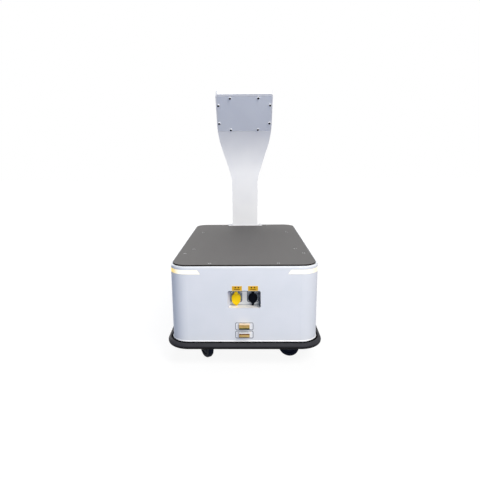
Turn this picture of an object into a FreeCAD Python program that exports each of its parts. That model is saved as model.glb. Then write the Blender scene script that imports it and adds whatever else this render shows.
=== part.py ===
"""Compact transport robot: a wheeled box with a load deck and a display mast.

Millimetres. X is to the robot's right seen from behind, +Y is the way it drives, +Z is up.
The origin is on the floor, under the centre of the bumper.
"""

import FreeCAD, Part
import math
import operator
import os
from types import SimpleNamespace

import Sketcher
from FreeCAD import Placement, Rotation, Vector

# Name, number, what it is. Lengths are in millimetres, angles in degrees.
# A formula instead of a number ties a size to the ones above it.
DIMENSIONS = [
    ("caster_radius", 32.5, "caster wheel, radius"),
    ("caster_head", 21, "from the top of a caster wheel to the chassis plate"),
    ("chassis_bottom", "2 * caster_radius + caster_head", "height of the chassis plate's lower face"),
    ("chassis_thick", 4, "thickness of the chassis plate"),
    ("body_width", 450, "outside width of the shell"),
    ("body_length", 730, "outside length of the shell"),
    ("body_corner", 53, "vertical corner radius of the shell"),
    ("shell_skirt", 5.5, "how far the shell reaches below the chassis plate"),
    ("shell_bottom", "chassis_bottom - shell_skirt", "height of the shell's lower edge"),
    ("shell_height", 237.5, "height of the shell"),
    ("shell_top", "shell_bottom + shell_height", "height of the shell's upper face"),
    ("shell_wall", 2, "sheet thickness of the shell"),
    ("rim_radius", 5, "rounding of the shell's upper edge"),
    ("top_flange", 27, "width of the flange under the deck plate"),
    ("deck_thick", 4, "thickness of the deck plate"),
    ("deck_inset", 6.5, "step from the shell's side to the deck plate"),
    ("hole_spacing_x", 350, "accessory holes, across"),
    ("hole_spacing_y", 312, "accessory holes, along"),
    ("hole_centre_y", 8, "centre of the accessory holes along the deck"),
    ("hole_radius", 3.3, "accessory hole, clearance for a 6 millimetre bolt"),
    ("deck_screw_in", 28.5, "side deck screws, in from the shell's sides"),
    ("deck_screw_x", "body_width / 2 - deck_screw_in", "side deck screws, from the centre line"),
    ("deck_screw_y", 211, "side deck screws, from the middle"),
    ("end_screw_x", 103.5, "end deck screws, from the centre line"),
    ("end_screw_in", 25, "end deck screws, in from the shell's ends"),
    ("end_screw_y", "body_length / 2 - end_screw_in", "end deck screws, from the middle"),
    ("screw_head", 5, "head radius of the deck screws"),
    ("screw_sink", 2.5, "head height of the deck screws"),
    ("screw_gap", 0.3, "clearance round screws"),
    ("bumper_gap", 1, "gap between the shell and the bumper"),
    ("bumper_height", 19, "height of the rubber section"),
    ("bumper_top", "shell_bottom - bumper_gap", "height of the bumper's upper face"),
    ("bumper_bottom", "bumper_top - bumper_height", "height of the bumper's lower face"),
    ("bumper_reach", 17, "how far the bumper stands out from the shell"),
    ("bumper_depth", 29, "depth of the rubber section"),
    ("bumper_round", 8.5, "rounding of the rubber section"),
    ("frame_wall", 9, "width of the channel that carries the rubber"),
    ("seat_gap", 0.3, "clearance where a piece sits in another"),
    ("light_drop", 23, "light bar's lower edge, down from the shell's upper face"),
    ("light_bottom", "shell_top - light_drop", "height of the light bar's lower edge"),
    ("light_height", 12.5, "height of the light bar"),
    ("light_reach", 94, "length of the light bar from the corner, lower edge"),
    ("light_slant", 9, "how much shorter the upper edge is"),
    ("light_flange", 3, "hidden flange round the light bar"),
    ("recess_width", 99, "socket recess, inside width"),
    ("recess_height", 54, "socket recess, inside height"),
    ("recess_depth", 36, "socket recess, depth from the rear face"),
    ("recess_centre", 216, "height of the recess centre"),
    ("recess_corner", 5, "corner radius of the recess"),
    ("recess_flange", 8, "hidden flange round the recess"),
    ("socket_spacing", 51, "between the two sockets"),
    ("socket_shift", 1, "sockets' centre from the centre line"),
    ("socket_height", 214, "height of the socket axes"),
    ("socket_flange", 34, "side of the square socket flange"),
    ("socket_plate", 2.5, "thickness of the socket flange"),
    ("barrel_radius", 12, "outside radius of the socket barrel"),
    ("barrel_length", 12, "socket barrel, in front of its flange"),
    ("barrel_bore", 9.5, "bore radius of the socket"),
    ("bore_depth", 10, "clear depth of the socket bore"),
    ("lid_radius", 14, "outside radius of the socket lid"),
    ("lid_length", 6.8, "depth of the socket lid"),
    ("lid_wall", 1.6, "wall of the socket lid"),
    ("lid_gap", 0.3, "clearance between lid and socket"),
    ("lid_pin_radius", 1.25, "hinge pin of the lid"),
    ("lid_pin_rise", 17.5, "hinge pin above the socket axis"),
    ("tab_left", 9.5, "width of the left lid's pull tab, at its root"),
    ("tab_right", 5.6, "width of the right lid's pull tab"),
    ("tab_end", 5, "width of either pull tab, at its end"),
    ("lid_tab_drop", 21.5, "how far the pull tab reaches below the axis"),
    ("pin_gap", 0.05, "radial clearance of a pin in its bore"),
    ("label_width", 31, "number plate, width"),
    ("label_height", 16, "number plate, height"),
    ("label_thick", 0.6, "number plate, thickness"),
    ("label_spacing", 48, "between the number plates"),
    ("label_shift", 2.5, "number plates' centre from the centre line"),
    ("slot_width", 54, "charging slot, width"),
    ("slot_height", 23.4, "charging slot, height"),
    ("slot_corner", 6, "corner radius of the charging slot"),
    ("slot_spacing", 26.7, "between the charging slots"),
    ("holder_gap", 0.55, "gap between the lower holder and the chassis plate"),
    ("holder_split", 0.4, "gap between the two contact holders"),
    ("holder_height", "slot_spacing - holder_split", "height of a contact holder"),
    ("slot_low", "chassis_bottom + chassis_thick + holder_gap + holder_height / 2", "height of the lower slot"),
    ("slot_gap", 0.6, "gap round the holder in its slot"),
    ("holder_depth", 16, "depth of the contact holder"),
    ("holder_flange", 4, "contact holder, beyond the slot on either side"),
    ("holder_corner", 3, "corner radius of the contact holder"),
    ("contact_width", 32, "brass contact, width"),
    ("contact_height", 16, "brass contact, height"),
    ("contact_rise", 1.6, "brass contact, above the middle of its slot"),
    ("contact_slant", 3.5, "slanted lower edge of the brass contact"),
    ("contact_reach", 12, "how far the contact stands out of the rear face"),
    ("mast_in", 35, "rear face of the mast column, back from the shell's front"),
    ("mast_plane", "body_length / 2 - mast_in", "rear face of the mast column, from the middle"),
    ("mast_depth", 28, "depth of the mast channel"),
    ("mast_wall", 2, "sheet thickness of the mast"),
    ("column_half", 57.5, "half width of the mast column"),
    ("head_half", 115, "half width of the mast head"),
    ("flare_start", 538, "height where the flare begins"),
    ("flare_end", 720.5, "height where the flare ends"),
    ("flare_low_radius", 165, "curve at the start of the flare"),
    ("flare_high_radius", 340, "curve at the end of the flare"),
    ("lean", 33, "angle of the head from upright"),
    ("bend_start", 565, "height where the mast begins to bend"),
    ("bend_radius", 309.7, "bend radius of the rear face"),
    ("head_length", 171.9, "length of the flat head"),
    ("head_corner", 11, "corner radius of the head"),
    ("foot_width", 156, "width of the mast foot"),
    ("foot_depth", 29.5, "depth of the mast foot"),
    ("foot_thick", 4, "height of the mast foot above the deck"),
    ("foot_gap", 0.4, "clearance round the mast foot in its notch"),
    ("foot_edge", 1.5, "mast foot, behind the mast"),
    ("foot_corner", 6, "corner radius of the mast foot"),
    ("foot_screw_in", 9, "foot screws, in from the foot's ends"),
    ("foot_screw_x", "foot_width / 2 - foot_screw_in", "foot screws, from the centre line"),
    ("button_head", 4.75, "head radius of the button-head screws"),
    ("button_rise", 2.6, "head height of the button-head screws"),
    ("plate_top", 11.3, "access plate, from the head's top"),
    ("plate_foot", 7.2, "access plate, up from the lower end of the flat head"),
    ("plate_length", "head_length - plate_top - plate_foot", "access plate, length down the head"),
    ("plate_margin", 5.5, "access plate, in from the head's sides"),
    ("plate_half", "head_half - plate_margin", "access plate, half width"),
    ("plate_groove", 1.2, "groove round the access plate"),
    ("plate_corner", 3, "corner radius of the access plate"),
    ("plate_row", 6.3, "screw rows, in from the plate's edge"),
    ("plate_row_half", 57, "screws in the rows, from the centre line"),
    ("plate_side_in", 4.5, "side screws, in from the plate's sides"),
    ("plate_side_half", "plate_half - plate_side_in", "side screws, from the centre line"),
    ("plate_side_drop", 37, "upper side screws, down from the plate's top"),
    ("plate_side_pitch", 80.3, "between the side screws"),
    ("glass_thick", 2, "display glass"),
    ("display_side", 11, "display unit, in from the head's sides"),
    ("display_half", "head_half - display_side", "display unit, half width"),
    ("display_end", 10.95, "display unit, in from the ends of the flat head"),
    ("display_length", "head_length - 2 * display_end", "display unit, length down the head"),
    ("display_depth", 16, "display unit, depth inside the head"),
    ("panel_thick", 8, "display housing, in front of the head"),
    ("glass_margin", 2, "edge of the housing round the display glass"),
    ("window_width", 240, "scanner window, width"),
    ("window_height", 32, "scanner window, height"),
    ("window_flange", 6, "hidden flange round the scanner window"),
    ("window_thick", 2, "thickness of that flange"),
    ("window_centre", 206, "height of the scanner window's centre"),
    ("scanner_radius", 38, "scanner, radius"),
    ("scanner_in", 57, "scanner axis, back from the shell's front"),
    ("scanner_y", "body_length / 2 - scanner_in", "scanner axis, forward of the middle"),
    ("scanner_top", 232, "height of the scanner's top"),
    ("scanner_toe", 6, "scanner, its foot stands in from its head"),
    ("scanner_neck", 14, "scanner, its neck stands in from its head"),
    ("scanner_taper", 8, "scanner, height of its tapers"),
    ("scanner_head", 30, "scanner, its head reaches below the window's centre"),
    ("slit_half", 10, "scanner slit, half height at its mouth"),
    ("slit_depth", 5, "scanner slit, depth"),
    ("slit_bevel", 2, "scanner slit, slope of its sides"),
    ("button_x", 110, "stop and power buttons, from the centre line"),
    ("button_drop", 56, "buttons, down from the shell's upper face"),
    ("button_z", "shell_top - button_drop", "height of the buttons"),
    ("stop_radius", 15, "stop button, radius"),
    ("stop_stem", 8, "stop button, stem radius"),
    ("stop_travel", 4, "stop button, travel"),
    ("stop_rise", 9, "stop button, height of its head"),
    ("stop_bevel", 5, "stop button, bevel of its head"),
    ("stop_gap", 1, "stop button, clear of the bezel when pressed"),
    ("stop_length", 20, "stop button, length behind the wall"),
    ("stop_barrel", 4, "stop button, from its stem to the hole in the wall"),
    ("stop_bezel", 20, "stop button bezel, radius"),
    ("power_radius", 8, "power button, radius"),
    ("power_travel", 2, "power button, travel"),
    ("power_length", 14, "power button, length behind the wall"),
    ("power_barrel", 2, "power button, from its stem to the hole in the wall"),
    ("power_bezel", 12, "power button bezel, radius"),
    ("bezel_rise", 3, "how far the bezels stand out"),
    ("bezel_edge", 1, "bezels, straight edge at the wall"),
    ("bezel_bevel", 2, "bezels, bevel of the rim"),
    ("bezel_length", 24, "bezels, length behind the wall"),
    ("tube_side", 20, "side of the square frame tubes"),
    ("tube_wall", 2, "wall of the square frame tubes"),
    ("rail_in", 39, "rails and posts, in from the shell's sides"),
    ("rail_x", "body_width / 2 - rail_in", "rails and posts, from the centre line"),
    ("rail_end", 47, "ends of the deck rails, in from the shell's ends"),
    ("rail_length", "body_length - 2 * rail_end", "length of the deck rails"),
    ("post_y", 115, "inner posts, from the middle"),
    ("post_in", 59, "end posts, in from the shell's ends"),
    ("post_end_y", "body_length / 2 - post_in", "end posts, from the middle"),
    ("bracket_height", 186, "underside of the suspension bracket"),
    ("bracket_thick", 4, "suspension bracket, thickness"),
    ("bracket_in", 14, "suspension bracket, inward of the swing arm"),
    ("bracket_back", 16, "suspension bracket, behind the spring"),
    ("bracket_corner", 4, "corner radius of the suspension bracket"),
    ("bracket_relief", 6, "suspension bracket, corner beside the posts"),
    ("bracket_curve", 10, "suspension bracket, inner curve"),
    ("wheel_radius", 75, "drive wheel, radius"),
    ("wheel_in", 55, "middle of the drive wheel, in from the shell's side"),
    ("wheel_x", "body_width / 2 - wheel_in", "middle of the drive wheel, from the centre line"),
    ("tyre_width", 40, "drive tyre, width"),
    ("rim_radius_drive", 56, "seat of the tyre on the hub motor"),
    ("axle_radius", 6, "fixed axle of the hub motor"),
    ("axle_nut", 9, "axle nut, radius"),
    ("axle_nut_length", 7, "axle nut, length"),
    ("axle_shoulder", 13, "shoulder of the axle, radius"),
    ("arm_step", 34, "swing arm, in from the drive wheel"),
    ("arm_x", "wheel_x - arm_step", "middle of the swing arm, from the centre line"),
    ("arm_thick", 8, "swing arm plate"),
    ("arm_eye", 14, "swing arm, half height at its pivot"),
    ("arm_belly", 20, "swing arm, depth below the axle"),
    ("pivot_y", -115, "swing arm pivot, along"),
    ("pivot_z", 125, "swing arm pivot, height"),
    ("pivot_radius", 5, "swing arm pin"),
    ("pivot_boss", 11, "swing arm boss, radius"),
    ("boss_half", 8.7, "half length of the swing arm boss"),
    ("ear_thick", 5, "ears of the pivot"),
    ("ear_half", 14, "half length of the pivot ears"),
    ("pin_end", 2, "swing arm pin, beyond the ears"),
    ("well_in", 18, "wheel opening, inward of the swing arm"),
    ("well_out", 9, "wheel opening, beyond the tyre"),
    ("well_more", 43, "wheel opening, longer than the wheel"),
    ("well_y", 2.5, "wheel opening's centre, forward of the axle"),
    ("well_corner", 8, "corner radius of the wheel opening"),
    ("spring_y", 66, "spring axis, forward of the middle"),
    ("spring_radius", 9.5, "mean radius of the spring"),
    ("spring_wire", 1.5, "wire radius of the spring"),
    ("spring_turns", 5, "turns of the spring"),
    ("spring_seat", 94, "height of the spring seat's underside"),
    ("seat_thick", 4, "spring seat, thickness"),
    ("caster_side", 95, "caster pivots, in from the shell's sides"),
    ("caster_x", "body_width / 2 - caster_side", "caster pivots, from the centre line"),
    ("caster_end", 74, "caster pivots, in from the shell's ends"),
    ("caster_y", "body_length / 2 - caster_end", "caster pivots, from the middle"),
    ("caster_trail", 14, "caster trail"),
    ("caster_width", 18, "caster wheel, width"),
    ("bolt_flat", 6.5, "axle bolt, centre to corner of its head"),
    ("bolt_head", 3, "axle bolt, height of its head"),
    ("nut_rim", 3.5, "kingpin nut, beyond the kingpin, to a corner"),
    ("nut_height", 4, "height of the kingpin nut"),
    ("caster_axle", 4, "caster axle, radius"),
    ("caster_plate", 66, "side of the caster's top plate"),
    ("plate_thick", 3, "caster top plate, thickness"),
    ("race_radius", 21, "swivel race, radius"),
    ("race_height", 6, "swivel race, height"),
    ("kingpin_radius", 5, "kingpin, radius"),
    ("fork_wall", 2.5, "sheet of the caster fork"),
    ("fork_crown", 6, "height of the fork's crown"),
    ("fork_eye", 9, "caster fork, half width at the axle"),
    ("side_gap", 1.5, "gap between caster wheel and fork"),
    ("angle_rear_left", -57, "swivel angle of the rear left caster"),
    ("angle_rear_right", -15, "swivel angle of the rear right caster"),
    ("angle_front_left", -40, "swivel angle of the front left caster"),
    ("angle_front_right", -20, "swivel angle of the front right caster"),
    ("battery_half", 95, "battery, half width"),
    ("battery_length", 210, "battery, length"),
    ("battery_height", 118, "battery, height"),
    ("battery_y", -140, "battery centre"),
    ("controller_half", 90, "controller, half width"),
    ("controller_length", 160, "controller, length"),
    ("controller_height", 58, "controller, height"),
    ("controller_y", 75, "controller centre"),
    ("driver_half", 50, "motor driver, half width"),
    ("driver_length", 55, "motor driver, length"),
    ("driver_height", 34, "motor driver, height"),
    ("driver_y", 205, "motor driver centre"),
]

OPERATIONS = {"+": operator.add, "-": operator.sub, "*": operator.mul, "/": operator.truediv}


class Size:
    """A value together with the spreadsheet expression that gives it."""

    def __init__(self, text, value):
        self.text = text
        self.value = value

    def __add__(self, other):
        return combine(self, "+", other)

    def __radd__(self, other):
        return combine(other, "+", self)

    def __sub__(self, other):
        return combine(self, "-", other)

    def __rsub__(self, other):
        return combine(other, "-", self)

    def __mul__(self, other):
        return combine(self, "*", other)

    def __rmul__(self, other):
        return combine(other, "*", self)

    def __truediv__(self, other):
        return combine(self, "/", other)

    def __neg__(self):
        return combine(0, "-", self)


def as_size(amount):
    """Plain numbers stand beside sizes from the sheet."""
    if isinstance(amount, Size):
        return amount
    return Size(repr(float(amount)), float(amount))


def combine(left, sign, right):
    """Join two sizes into one expression and one value."""
    left = as_size(left)
    right = as_size(right)
    value = OPERATIONS[sign](left.value, right.value)
    return Size("(%s %s %s)" % (left.text, sign, right.text), value)


def sine(angle):
    return Size("sin(%s * 1deg)" % angle.text, math.sin(math.radians(angle.value)))


def cosine(angle):
    return Size("cos(%s * 1deg)" % angle.text, math.cos(math.radians(angle.value)))


def tangent(angle):
    return Size("tan(%s * 1deg)" % angle.text, math.tan(math.radians(angle.value)))


def write_sheet(document):
    """Put the driving dimensions in the sheet and hand them back by name."""
    sheet = document.addObject("Spreadsheet::Sheet", "Sizes")
    for row, (name, number, note) in enumerate(DIMENSIONS, start=1):
        sheet.set("A%d" % row, name)
        sheet.set("B%d" % row, "=" + number if isinstance(number, str) else str(number))
        sheet.set("C%d" % row, note)
        sheet.setAlias("B%d" % row, name)
    document.recompute()
    named = {name: Size("Sizes." + name, float(sheet.get(name))) for name, number, note in DIMENSIONS}
    return SimpleNamespace(**named)


doc = FreeCAD.newDocument("TransportRobot")
S = write_sheet(doc)
NODES = []

# ---- small building helpers ---------------------------------------------------------------


def bind(thing, prop, amount):
    thing.setExpression(prop, as_size(amount).text)


def place(thing, x=0, y=0, z=0):
    for axis, amount in zip("xyz", (x, y, z)):
        bind(thing, "Placement.Base." + axis, amount)


def new_body(name, node=True):
    """A body; a node is written to its own file, the others are masters for copies."""
    body = doc.addObject("PartDesign::Body", name)
    body.Label = name
    if node:
        NODES.append(body)
    return body


def new_sketch(body, plane, x=0, y=0, z=0):
    """A sketch on an origin plane, shifted by x and y in its plane and by z along its normal."""
    sketch = body.newObject("Sketcher::SketchObject", body.Name + "_sketch")
    support = next(item for item in body.Origin.OriginFeatures if item.Role == plane)
    sketch.AttachmentSupport = [(support, "")]
    sketch.MapMode = "FlatFace"
    for axis, amount in zip("xyz", (x, y, z)):
        bind(sketch, "AttachmentOffset.Base." + axis, amount)
    return sketch


def pin_down(sketch, item, end, x, y):
    """Fix a point of the sketch at x, y."""
    for kind, amount, zero_line in (("DistanceX", x, -2), ("DistanceY", y, -1)):
        amount = as_size(amount)
        if amount.value == 0:
            sketch.addConstraint(Sketcher.Constraint("PointOnObject", item, end, zero_line))
            continue
        index = sketch.addConstraint(Sketcher.Constraint(kind, -1, 1, item, end, amount.value))
        bind(sketch, "Constraints[%d]" % index, amount)


def set_radius(sketch, item, radius):
    index = sketch.addConstraint(Sketcher.Constraint("Radius", item, as_size(radius).value))
    bind(sketch, "Constraints[%d]" % index, radius)


def circle(sketch, x, y, radius):
    centre = Vector(as_size(x).value, as_size(y).value, 0)
    item = sketch.addGeometry(Part.Circle(centre, Vector(0, 0, 1), as_size(radius).value), False)
    pin_down(sketch, item, 3, x, y)
    set_radius(sketch, item, radius)


def corner_arc(before, corner, after, radius):
    """Tangent arc in a corner: its two tangent points, the arc and whether it turns left."""
    back = (before - corner).normalize()
    ahead = (after - corner).normalize()
    half = back.getAngle(ahead) / 2
    reach = radius / math.tan(half)
    centre = corner + (back + ahead).normalize() * (radius / math.sin(half))
    start = corner + back * reach
    finish = corner + ahead * reach
    left_turn = (corner - before).cross(after - corner).z > 0
    first, last = (start, finish) if left_turn else (finish, start)
    first_angle = math.atan2(first.y - centre.y, first.x - centre.x)
    last_angle = math.atan2(last.y - centre.y, last.x - centre.x)
    if last_angle < first_angle:
        last_angle += 2 * math.pi
    arc = Part.ArcOfCircle(Part.Circle(centre, Vector(0, 0, 1), radius), first_angle, last_angle)
    return start, finish, arc, left_turn


def outline(sketch, points):
    """Closed outline through (x, y) corners; a third number rounds its corner by a tangent arc."""
    corners = [Vector(as_size(point[0]).value, as_size(point[1]).value, 0) for point in points]
    count = len(points)
    arcs = {}
    for number, point in enumerate(points):
        if len(point) == 3:
            before = corners[number - 1]
            after = corners[(number + 1) % count]
            arcs[number] = corner_arc(before, corners[number], after, as_size(point[2]).value)
    lines = []
    for number in range(count):
        following = (number + 1) % count
        start = arcs[number][1] if number in arcs else corners[number]
        finish = arcs[following][0] if following in arcs else corners[following]
        lines.append(sketch.addGeometry(Part.LineSegment(start, finish), False))
    for number, point in enumerate(points):
        line_in = lines[number - 1]
        line_out = lines[number]
        if number not in arcs:
            sketch.addConstraint(Sketcher.Constraint("Coincident", line_in, 2, line_out, 1))
            pin_down(sketch, line_out, 1, point[0], point[1])
            continue
        left_turn = arcs[number][3]
        arc = sketch.addGeometry(arcs[number][2], False)
        mark = sketch.addGeometry(Part.Point(corners[number]), True)
        enter, leave = (1, 2) if left_turn else (2, 1)
        sketch.addConstraint(Sketcher.Constraint("Tangent", line_in, 2, arc, enter))
        sketch.addConstraint(Sketcher.Constraint("Tangent", line_out, 1, arc, leave))
        sketch.addConstraint(Sketcher.Constraint("PointOnObject", mark, 1, line_in))
        sketch.addConstraint(Sketcher.Constraint("PointOnObject", mark, 1, line_out))
        pin_down(sketch, mark, 1, point[0], point[1])
        set_radius(sketch, arc, point[2])


def rectangle(sketch, x, y, width, height, radius=None):
    """Centred rectangle, with rounded corners if a radius is given."""
    extra = () if radius is None else (radius,)
    left = x - as_size(width) / 2
    right = x + as_size(width) / 2
    low = y - as_size(height) / 2
    high = y + as_size(height) / 2
    outline(sketch, [(left, low) + extra, (right, low) + extra, (right, high) + extra, (left, high) + extra])


def hexagon(x, y, radius):
    """Corners of a bolt head or nut, the radius to a corner."""
    corners = [as_size(60 * step) for step in range(6)]
    return [(x + radius * cosine(angle), y + radius * sine(angle)) for angle in corners]


def extrude(body, kind, sketch, length, both=False, reverse=False):
    """Pad or pocket; a pocket has to take material away."""
    before = body.Shape.Volume if kind == "Pocket" else 0
    feature = body.newObject("PartDesign::" + kind, body.Name + "_" + kind.lower())
    feature.Profile = sketch
    feature.SideType = "Symmetric" if both else "One side"
    feature.Reversed = reverse
    bind(feature, "Length", length)
    doc.recompute()
    if kind == "Pocket" and body.Shape.Volume >= before - 0.01:
        raise RuntimeError("pocket cuts nothing: " + feature.Name)
    return feature


def pad(body, sketch, length, both=False, reverse=False):
    return extrude(body, "Pad", sketch, length, both, reverse)


def pocket(body, sketch, length, both=False, reverse=False):
    return extrude(body, "Pocket", sketch, length, both, reverse)


def turn(body, kind, sketch, axis):
    """Full turn of a profile about the sketch's own H_Axis or V_Axis."""
    before = body.Shape.Volume if kind == "Groove" else 0
    feature = body.newObject("PartDesign::" + kind, body.Name + "_" + kind.lower())
    feature.Profile = sketch
    feature.ReferenceAxis = (sketch, [axis])
    feature.Angle = 360
    doc.recompute()
    if kind == "Groove" and body.Shape.Volume >= before - 0.01:
        raise RuntimeError("groove cuts nothing: " + feature.Name)
    return feature


def round_edges(body, radius, wanted):
    """Fillet every edge of the body's tip for which wanted(edge) is true."""
    tip = body.Tip
    names = ["Edge%d" % (n + 1) for n, edge in enumerate(tip.Shape.Edges) if wanted(edge)]
    fillet = body.newObject("PartDesign::Fillet", body.Name + "_fillet")
    fillet.Base = (tip, names)
    bind(fillet, "Radius", radius)
    doc.recompute()
    return fillet


def mirror(body, features, plane):
    """Mirror features of a body in one of its origin planes."""
    support = next(item for item in body.Origin.OriginFeatures if item.Role == plane)
    mirrored = body.newObject("PartDesign::Mirrored", body.Name + "_mirrored")
    mirrored.Originals = features
    mirrored.MirrorPlane = (support, [""])
    body.Tip = mirrored
    doc.recompute()
    return mirrored


def copies(name, master, places):
    """One node of identical solids: linked copies of a master body."""
    return group_up(name, [(master,) + tuple(spot) for spot in places])


def group_up(name, members):
    """One node of several solids, each a linked copy of a master at its own place."""
    links = []
    for number, (master, x, y, z, rotation) in enumerate(members):
        link = doc.addObject("App::Link", "%s_%d" % (name, number + 1))
        link.LinkedObject = master
        link.Placement = Placement(Vector(0, 0, 0), rotation)
        place(link, x, y, z)
        links.append(link)
    group = doc.addObject("Part::Compound", name)
    group.Links = links
    group.Label = name
    NODES.append(group)
    return group


def upright_to_head(length):
    """Picks the edges of this length that run through the thickness of a head piece."""
    return lambda edge: edge.BoundBox.XLength < 0.01 and abs(edge.Length - length.value) < 0.01


def flat_at(edge, height):
    """True for an edge that lies level at this height."""
    box = edge.BoundBox
    return abs(box.ZMin - height) < 0.01 and abs(box.ZMax - height) < 0.01


UPRIGHT = Rotation()
HALF_WIDTH = S.body_width / 2
HALF_LENGTH = S.body_length / 2
CHASSIS_TOP = S.chassis_bottom + S.chassis_thick
DECK_TOP = S.shell_top + S.deck_thick
SIDES = (("left", -1), ("right", 1))
WALLS = (("XZ_Plane", HALF_WIDTH, HALF_LENGTH), ("YZ_Plane", HALF_LENGTH, HALF_WIDTH))  # plane, across, along
SPRING_SIDES = 9  # straight lengths in one turn of a spring

# ---- shell, deck and bumper ---------------------------------------------------------------


def light_windows(body):
    """Windows for the light bars: slanted ends, wrapped round all four corners."""
    low = S.light_bottom - S.seat_gap
    high = S.light_bottom + S.light_height + S.seat_gap
    for plane, across, along in WALLS:
        near = across - S.light_reach - S.seat_gap
        past = across + S.rim_radius
        for end in (1, -1):
            sketch = new_sketch(body, plane, z=end * (along + 1))
            for side in (-1, 1):
                outline(sketch, [(side * near, low), (side * past, low), (side * past, high),
                                 (side * (near + S.light_slant), high)])
            pocket(body, sketch, S.body_corner + 1, reverse=end < 0)


def make_shell():
    body = new_body("body_shell")
    sketch = new_sketch(body, "XY_Plane", z=S.shell_bottom)
    rectangle(sketch, 0, 0, S.body_width, S.body_length, S.body_corner)
    pad(body, sketch, S.shell_top - S.shell_bottom)
    round_edges(body, S.rim_radius, lambda edge: flat_at(edge, S.shell_top.value))
    inside = new_sketch(body, "XY_Plane", z=S.shell_bottom)
    rectangle(inside, 0, 0, S.body_width - 2 * S.shell_wall, S.body_length - 2 * S.shell_wall,
              S.body_corner - S.shell_wall)
    pocket(body, inside, S.shell_top - S.shell_bottom - S.shell_wall, reverse=True)
    opening = new_sketch(body, "XY_Plane", z=S.shell_top + 1)
    rectangle(opening, 0, 0, S.body_width - 2 * S.top_flange, S.body_length - 2 * S.top_flange,
              S.body_corner - S.top_flange)
    pocket(body, opening, S.shell_wall + 2)
    light_windows(body)
    rear = new_sketch(body, "XZ_Plane", z=HALF_LENGTH + 1)
    rectangle(rear, 0, S.recess_centre, S.recess_width, S.recess_height, S.recess_corner)
    for number in (0, 1):
        rectangle(rear, 0, S.slot_low + number * S.slot_spacing, S.slot_width, S.slot_height, S.slot_corner)
    pocket(body, rear, S.shell_wall + 2)
    front = new_sketch(body, "XZ_Plane", z=-HALF_LENGTH - 1)
    rectangle(front, 0, S.window_centre, S.window_width, S.window_height, S.slot_corner)
    circle(front, S.button_x, S.button_z, S.stop_stem + S.stop_barrel)
    circle(front, -S.button_x, S.button_z, S.power_radius + S.power_barrel)
    pocket(body, front, S.shell_wall + 2, reverse=True)


def deck_screw_places():
    sides = [(x, -S.deck_screw_y) for x in (-S.deck_screw_x, S.deck_screw_x)]
    ends = [(x, y) for x in (-S.end_screw_x, S.end_screw_x) for y in (-S.end_screw_y, S.end_screw_y)]
    return sides + ends


def make_deck():
    body = new_body("deck_plate")
    sketch = new_sketch(body, "XY_Plane", z=S.shell_top)
    rectangle(sketch, 0, 0, S.body_width - 2 * S.deck_inset, S.body_length - 2 * S.deck_inset,
              S.body_corner - S.deck_inset)
    pad(body, sketch, S.deck_thick)
    holes = new_sketch(body, "XY_Plane", z=DECK_TOP + 1)
    for x in (-S.hole_spacing_x / 2, S.hole_spacing_x / 2):
        for y in (S.hole_centre_y - S.hole_spacing_y / 2, S.hole_centre_y + S.hole_spacing_y / 2):
            circle(holes, x, y, S.hole_radius)
    pocket(body, holes, S.deck_thick + 2)
    sinks = new_sketch(body, "XY_Plane", z=DECK_TOP + 1)
    for x, y in deck_screw_places():
        circle(sinks, x, y, S.screw_head + S.screw_gap)
    pocket(body, sinks, S.screw_sink + 1)
    notch = new_sketch(body, "XY_Plane", z=DECK_TOP + 1)
    low = S.mast_plane - S.foot_edge - S.foot_gap
    high = HALF_LENGTH + 10
    rectangle(notch, 0, (low + high) / 2, S.foot_width + 2 * S.foot_gap, high - low,
              S.foot_corner + S.foot_gap)
    pocket(body, notch, S.deck_thick + 2)

    screw = new_body("deck_screw", node=False)
    head = new_sketch(screw, "XY_Plane")
    circle(head, 0, 0, S.screw_head)
    pad(screw, head, S.screw_sink)
    copies("deck_screws", screw, [(x, y, DECK_TOP - S.screw_sink, UPRIGHT) for x, y in deck_screw_places()])


def ring(body, bottom, height, outer_reach, depth):
    """Rounded rectangular ring that follows the shell; outer_reach is its step out from the shell."""
    sketch = new_sketch(body, "XY_Plane", z=bottom)
    for reach in (outer_reach, outer_reach - depth):
        rectangle(sketch, 0, 0, S.body_width + 2 * reach, S.body_length + 2 * reach, S.body_corner + reach)
    pad(body, sketch, height)


def make_bumper():
    rubber = new_body("bumper")
    ring(rubber, S.bumper_bottom, S.bumper_height, S.bumper_reach, S.bumper_depth)

    def outside(edge):
        level = flat_at(edge, S.bumper_top.value) or flat_at(edge, S.bumper_bottom.value)
        middle = edge.valueAt((edge.FirstParameter + edge.LastParameter) / 2)
        beyond_x = abs(middle.x) - HALF_WIDTH.value
        beyond_y = abs(middle.y) - HALF_LENGTH.value
        reach = S.bumper_reach.value
        corner = S.body_corner.value
        from_corner = math.hypot(max(beyond_x + corner, 0), max(beyond_y + corner, 0)) - corner
        return level and from_corner > reach - 1
    round_edges(rubber, S.bumper_round, outside)
    frame = new_body("bumper_frame")
    reach = S.bumper_reach - S.bumper_depth
    ring(frame, S.bumper_bottom + 1, S.chassis_bottom - S.bumper_bottom - 1, reach, S.frame_wall)


# ---- light bars -----------------------------------------------------------------------------


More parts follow.
